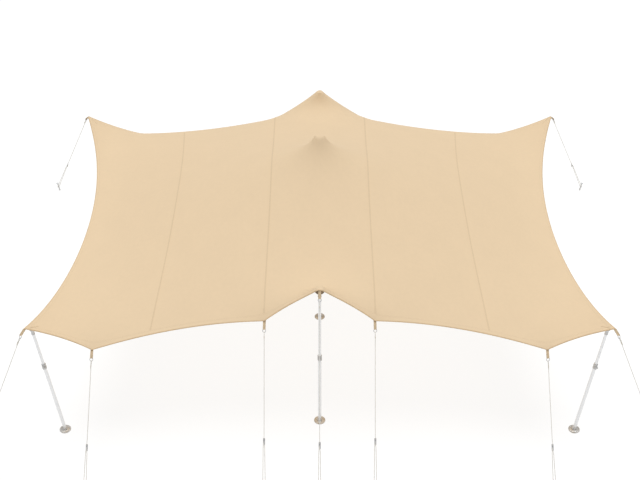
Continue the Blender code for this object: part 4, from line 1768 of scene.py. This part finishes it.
# %% Metal and plastic
aluminium = Finish("satin_aluminium", (0.84, 0.845, 0.85), 0.4, 0.6)
place = aluminium.place()
lines = aluminium.use(brushed, Place=place)
aluminium.shade(lines["Shade"])
aluminium.tree.links.new(lines["Roughness"], aluminium.shader.inputs["Roughness"])
aluminium.mix("MIX", aluminium.use(dust, Place=place)["Mask"], DUST)
aluminium.bump(lines["Height"], 0.00006, 0.5)

zinc = Finish("zinc_plated_steel", (0.62, 0.63, 0.645), 0.42, 0.9)
place = zinc.place()
cells = zinc.tree.nodes.new("ShaderNodeTexVoronoi")
cells.inputs["Scale"].default_value = 210.0
zinc.tree.links.new(place, cells.inputs["Vector"])
grey = parts_of(zinc.tree, cells.outputs["Color"])[0]
zinc.shade(ramp(zinc.tree, grey, 0.0, 1.0, 0.9, 1.05))
spots = ramp(zinc.tree, noise(zinc.tree, place, 120.0, 3.0), 0.3, 0.7, 0.34, 0.52)
zinc.tree.links.new(spots, zinc.shader.inputs["Roughness"])
zinc.mix("MIX", zinc.use(dust, Place=place)["Mask"], DUST)

cap_plastic = Finish("cap_plastic", (0.5, 0.46, 0.4), 0.55)
cap_plastic.bump(noise(cap_plastic.tree, cap_plastic.place(), 1800.0, 2.0), 0.0003, 0.35)

clamp_plastic = Finish("clamp_plastic", (0.62, 0.62, 0.615), 0.5)
clamp_plastic.bump(noise(clamp_plastic.tree, clamp_plastic.place(), 1800.0, 2.0), 0.0003, 0.35)
print("materials:", len(bpy.data.materials))

# %% [markdown]
# ## Dressing the pieces
#
# Each piece gets its material and rides on the body "root"; the table also names the slot that
# it belongs to in the record. The frame's solids are replaced by the pieces that stand for them.

# %% Dressing
for piece, finish, slot in (
    (canopy, cloth, "canopy_cloth"),
    (hem_band, cloth, "canopy_cloth"),
    (patches, patch_cloth, "canopy_cloth"),
    (seams, seam_cloth_painted_shade, "canopy_cloth"),
    (hem_roll, roll_cloth_painted_shade, "canopy_cloth"),
    (straps, strap_web, "guy_rope"),
    (whippings, twine, "guy_rope"),
    (rings, zinc, "stake_steel"),
    (tensioners, zinc, "stake_steel"),
    (clamps, clamp_plastic, "cap_plastic"),
    (corner_heads, clamp_plastic, "cap_plastic"),
):
    dress(piece, finish.material)
for group, finish, slot, node in (
    (ropes, rope_yarn, "guy_rope", "guy_"),
    (stakes, zinc, "stake_steel", "stake_"),
    (poles, aluminium, "pole_aluminium", "pole_"),
    (caps, cap_plastic, "cap_plastic", "cap_"),
):
    for name, piece in group.items():
        dress(piece, finish.material)
        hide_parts(node + name)
panels = ("panel_far_left", "panel_left", "panel_middle", "panel_right", "panel_far_right")
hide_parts(*panels)

# %% [markdown]
# The largest pieces are counted in triangles.

# %% A last look at the sizes
visual = [piece for piece in bpy.context.scene.objects if piece.type == "MESH"]
counts = {
    piece.name: sum(len(face.vertices) - 2 for face in piece.data.polygons) for piece in visual
}
largest = sorted(counts, key=counts.get)[-4:]
print("triangles in the largest pieces:", {name: counts[name] for name in largest})
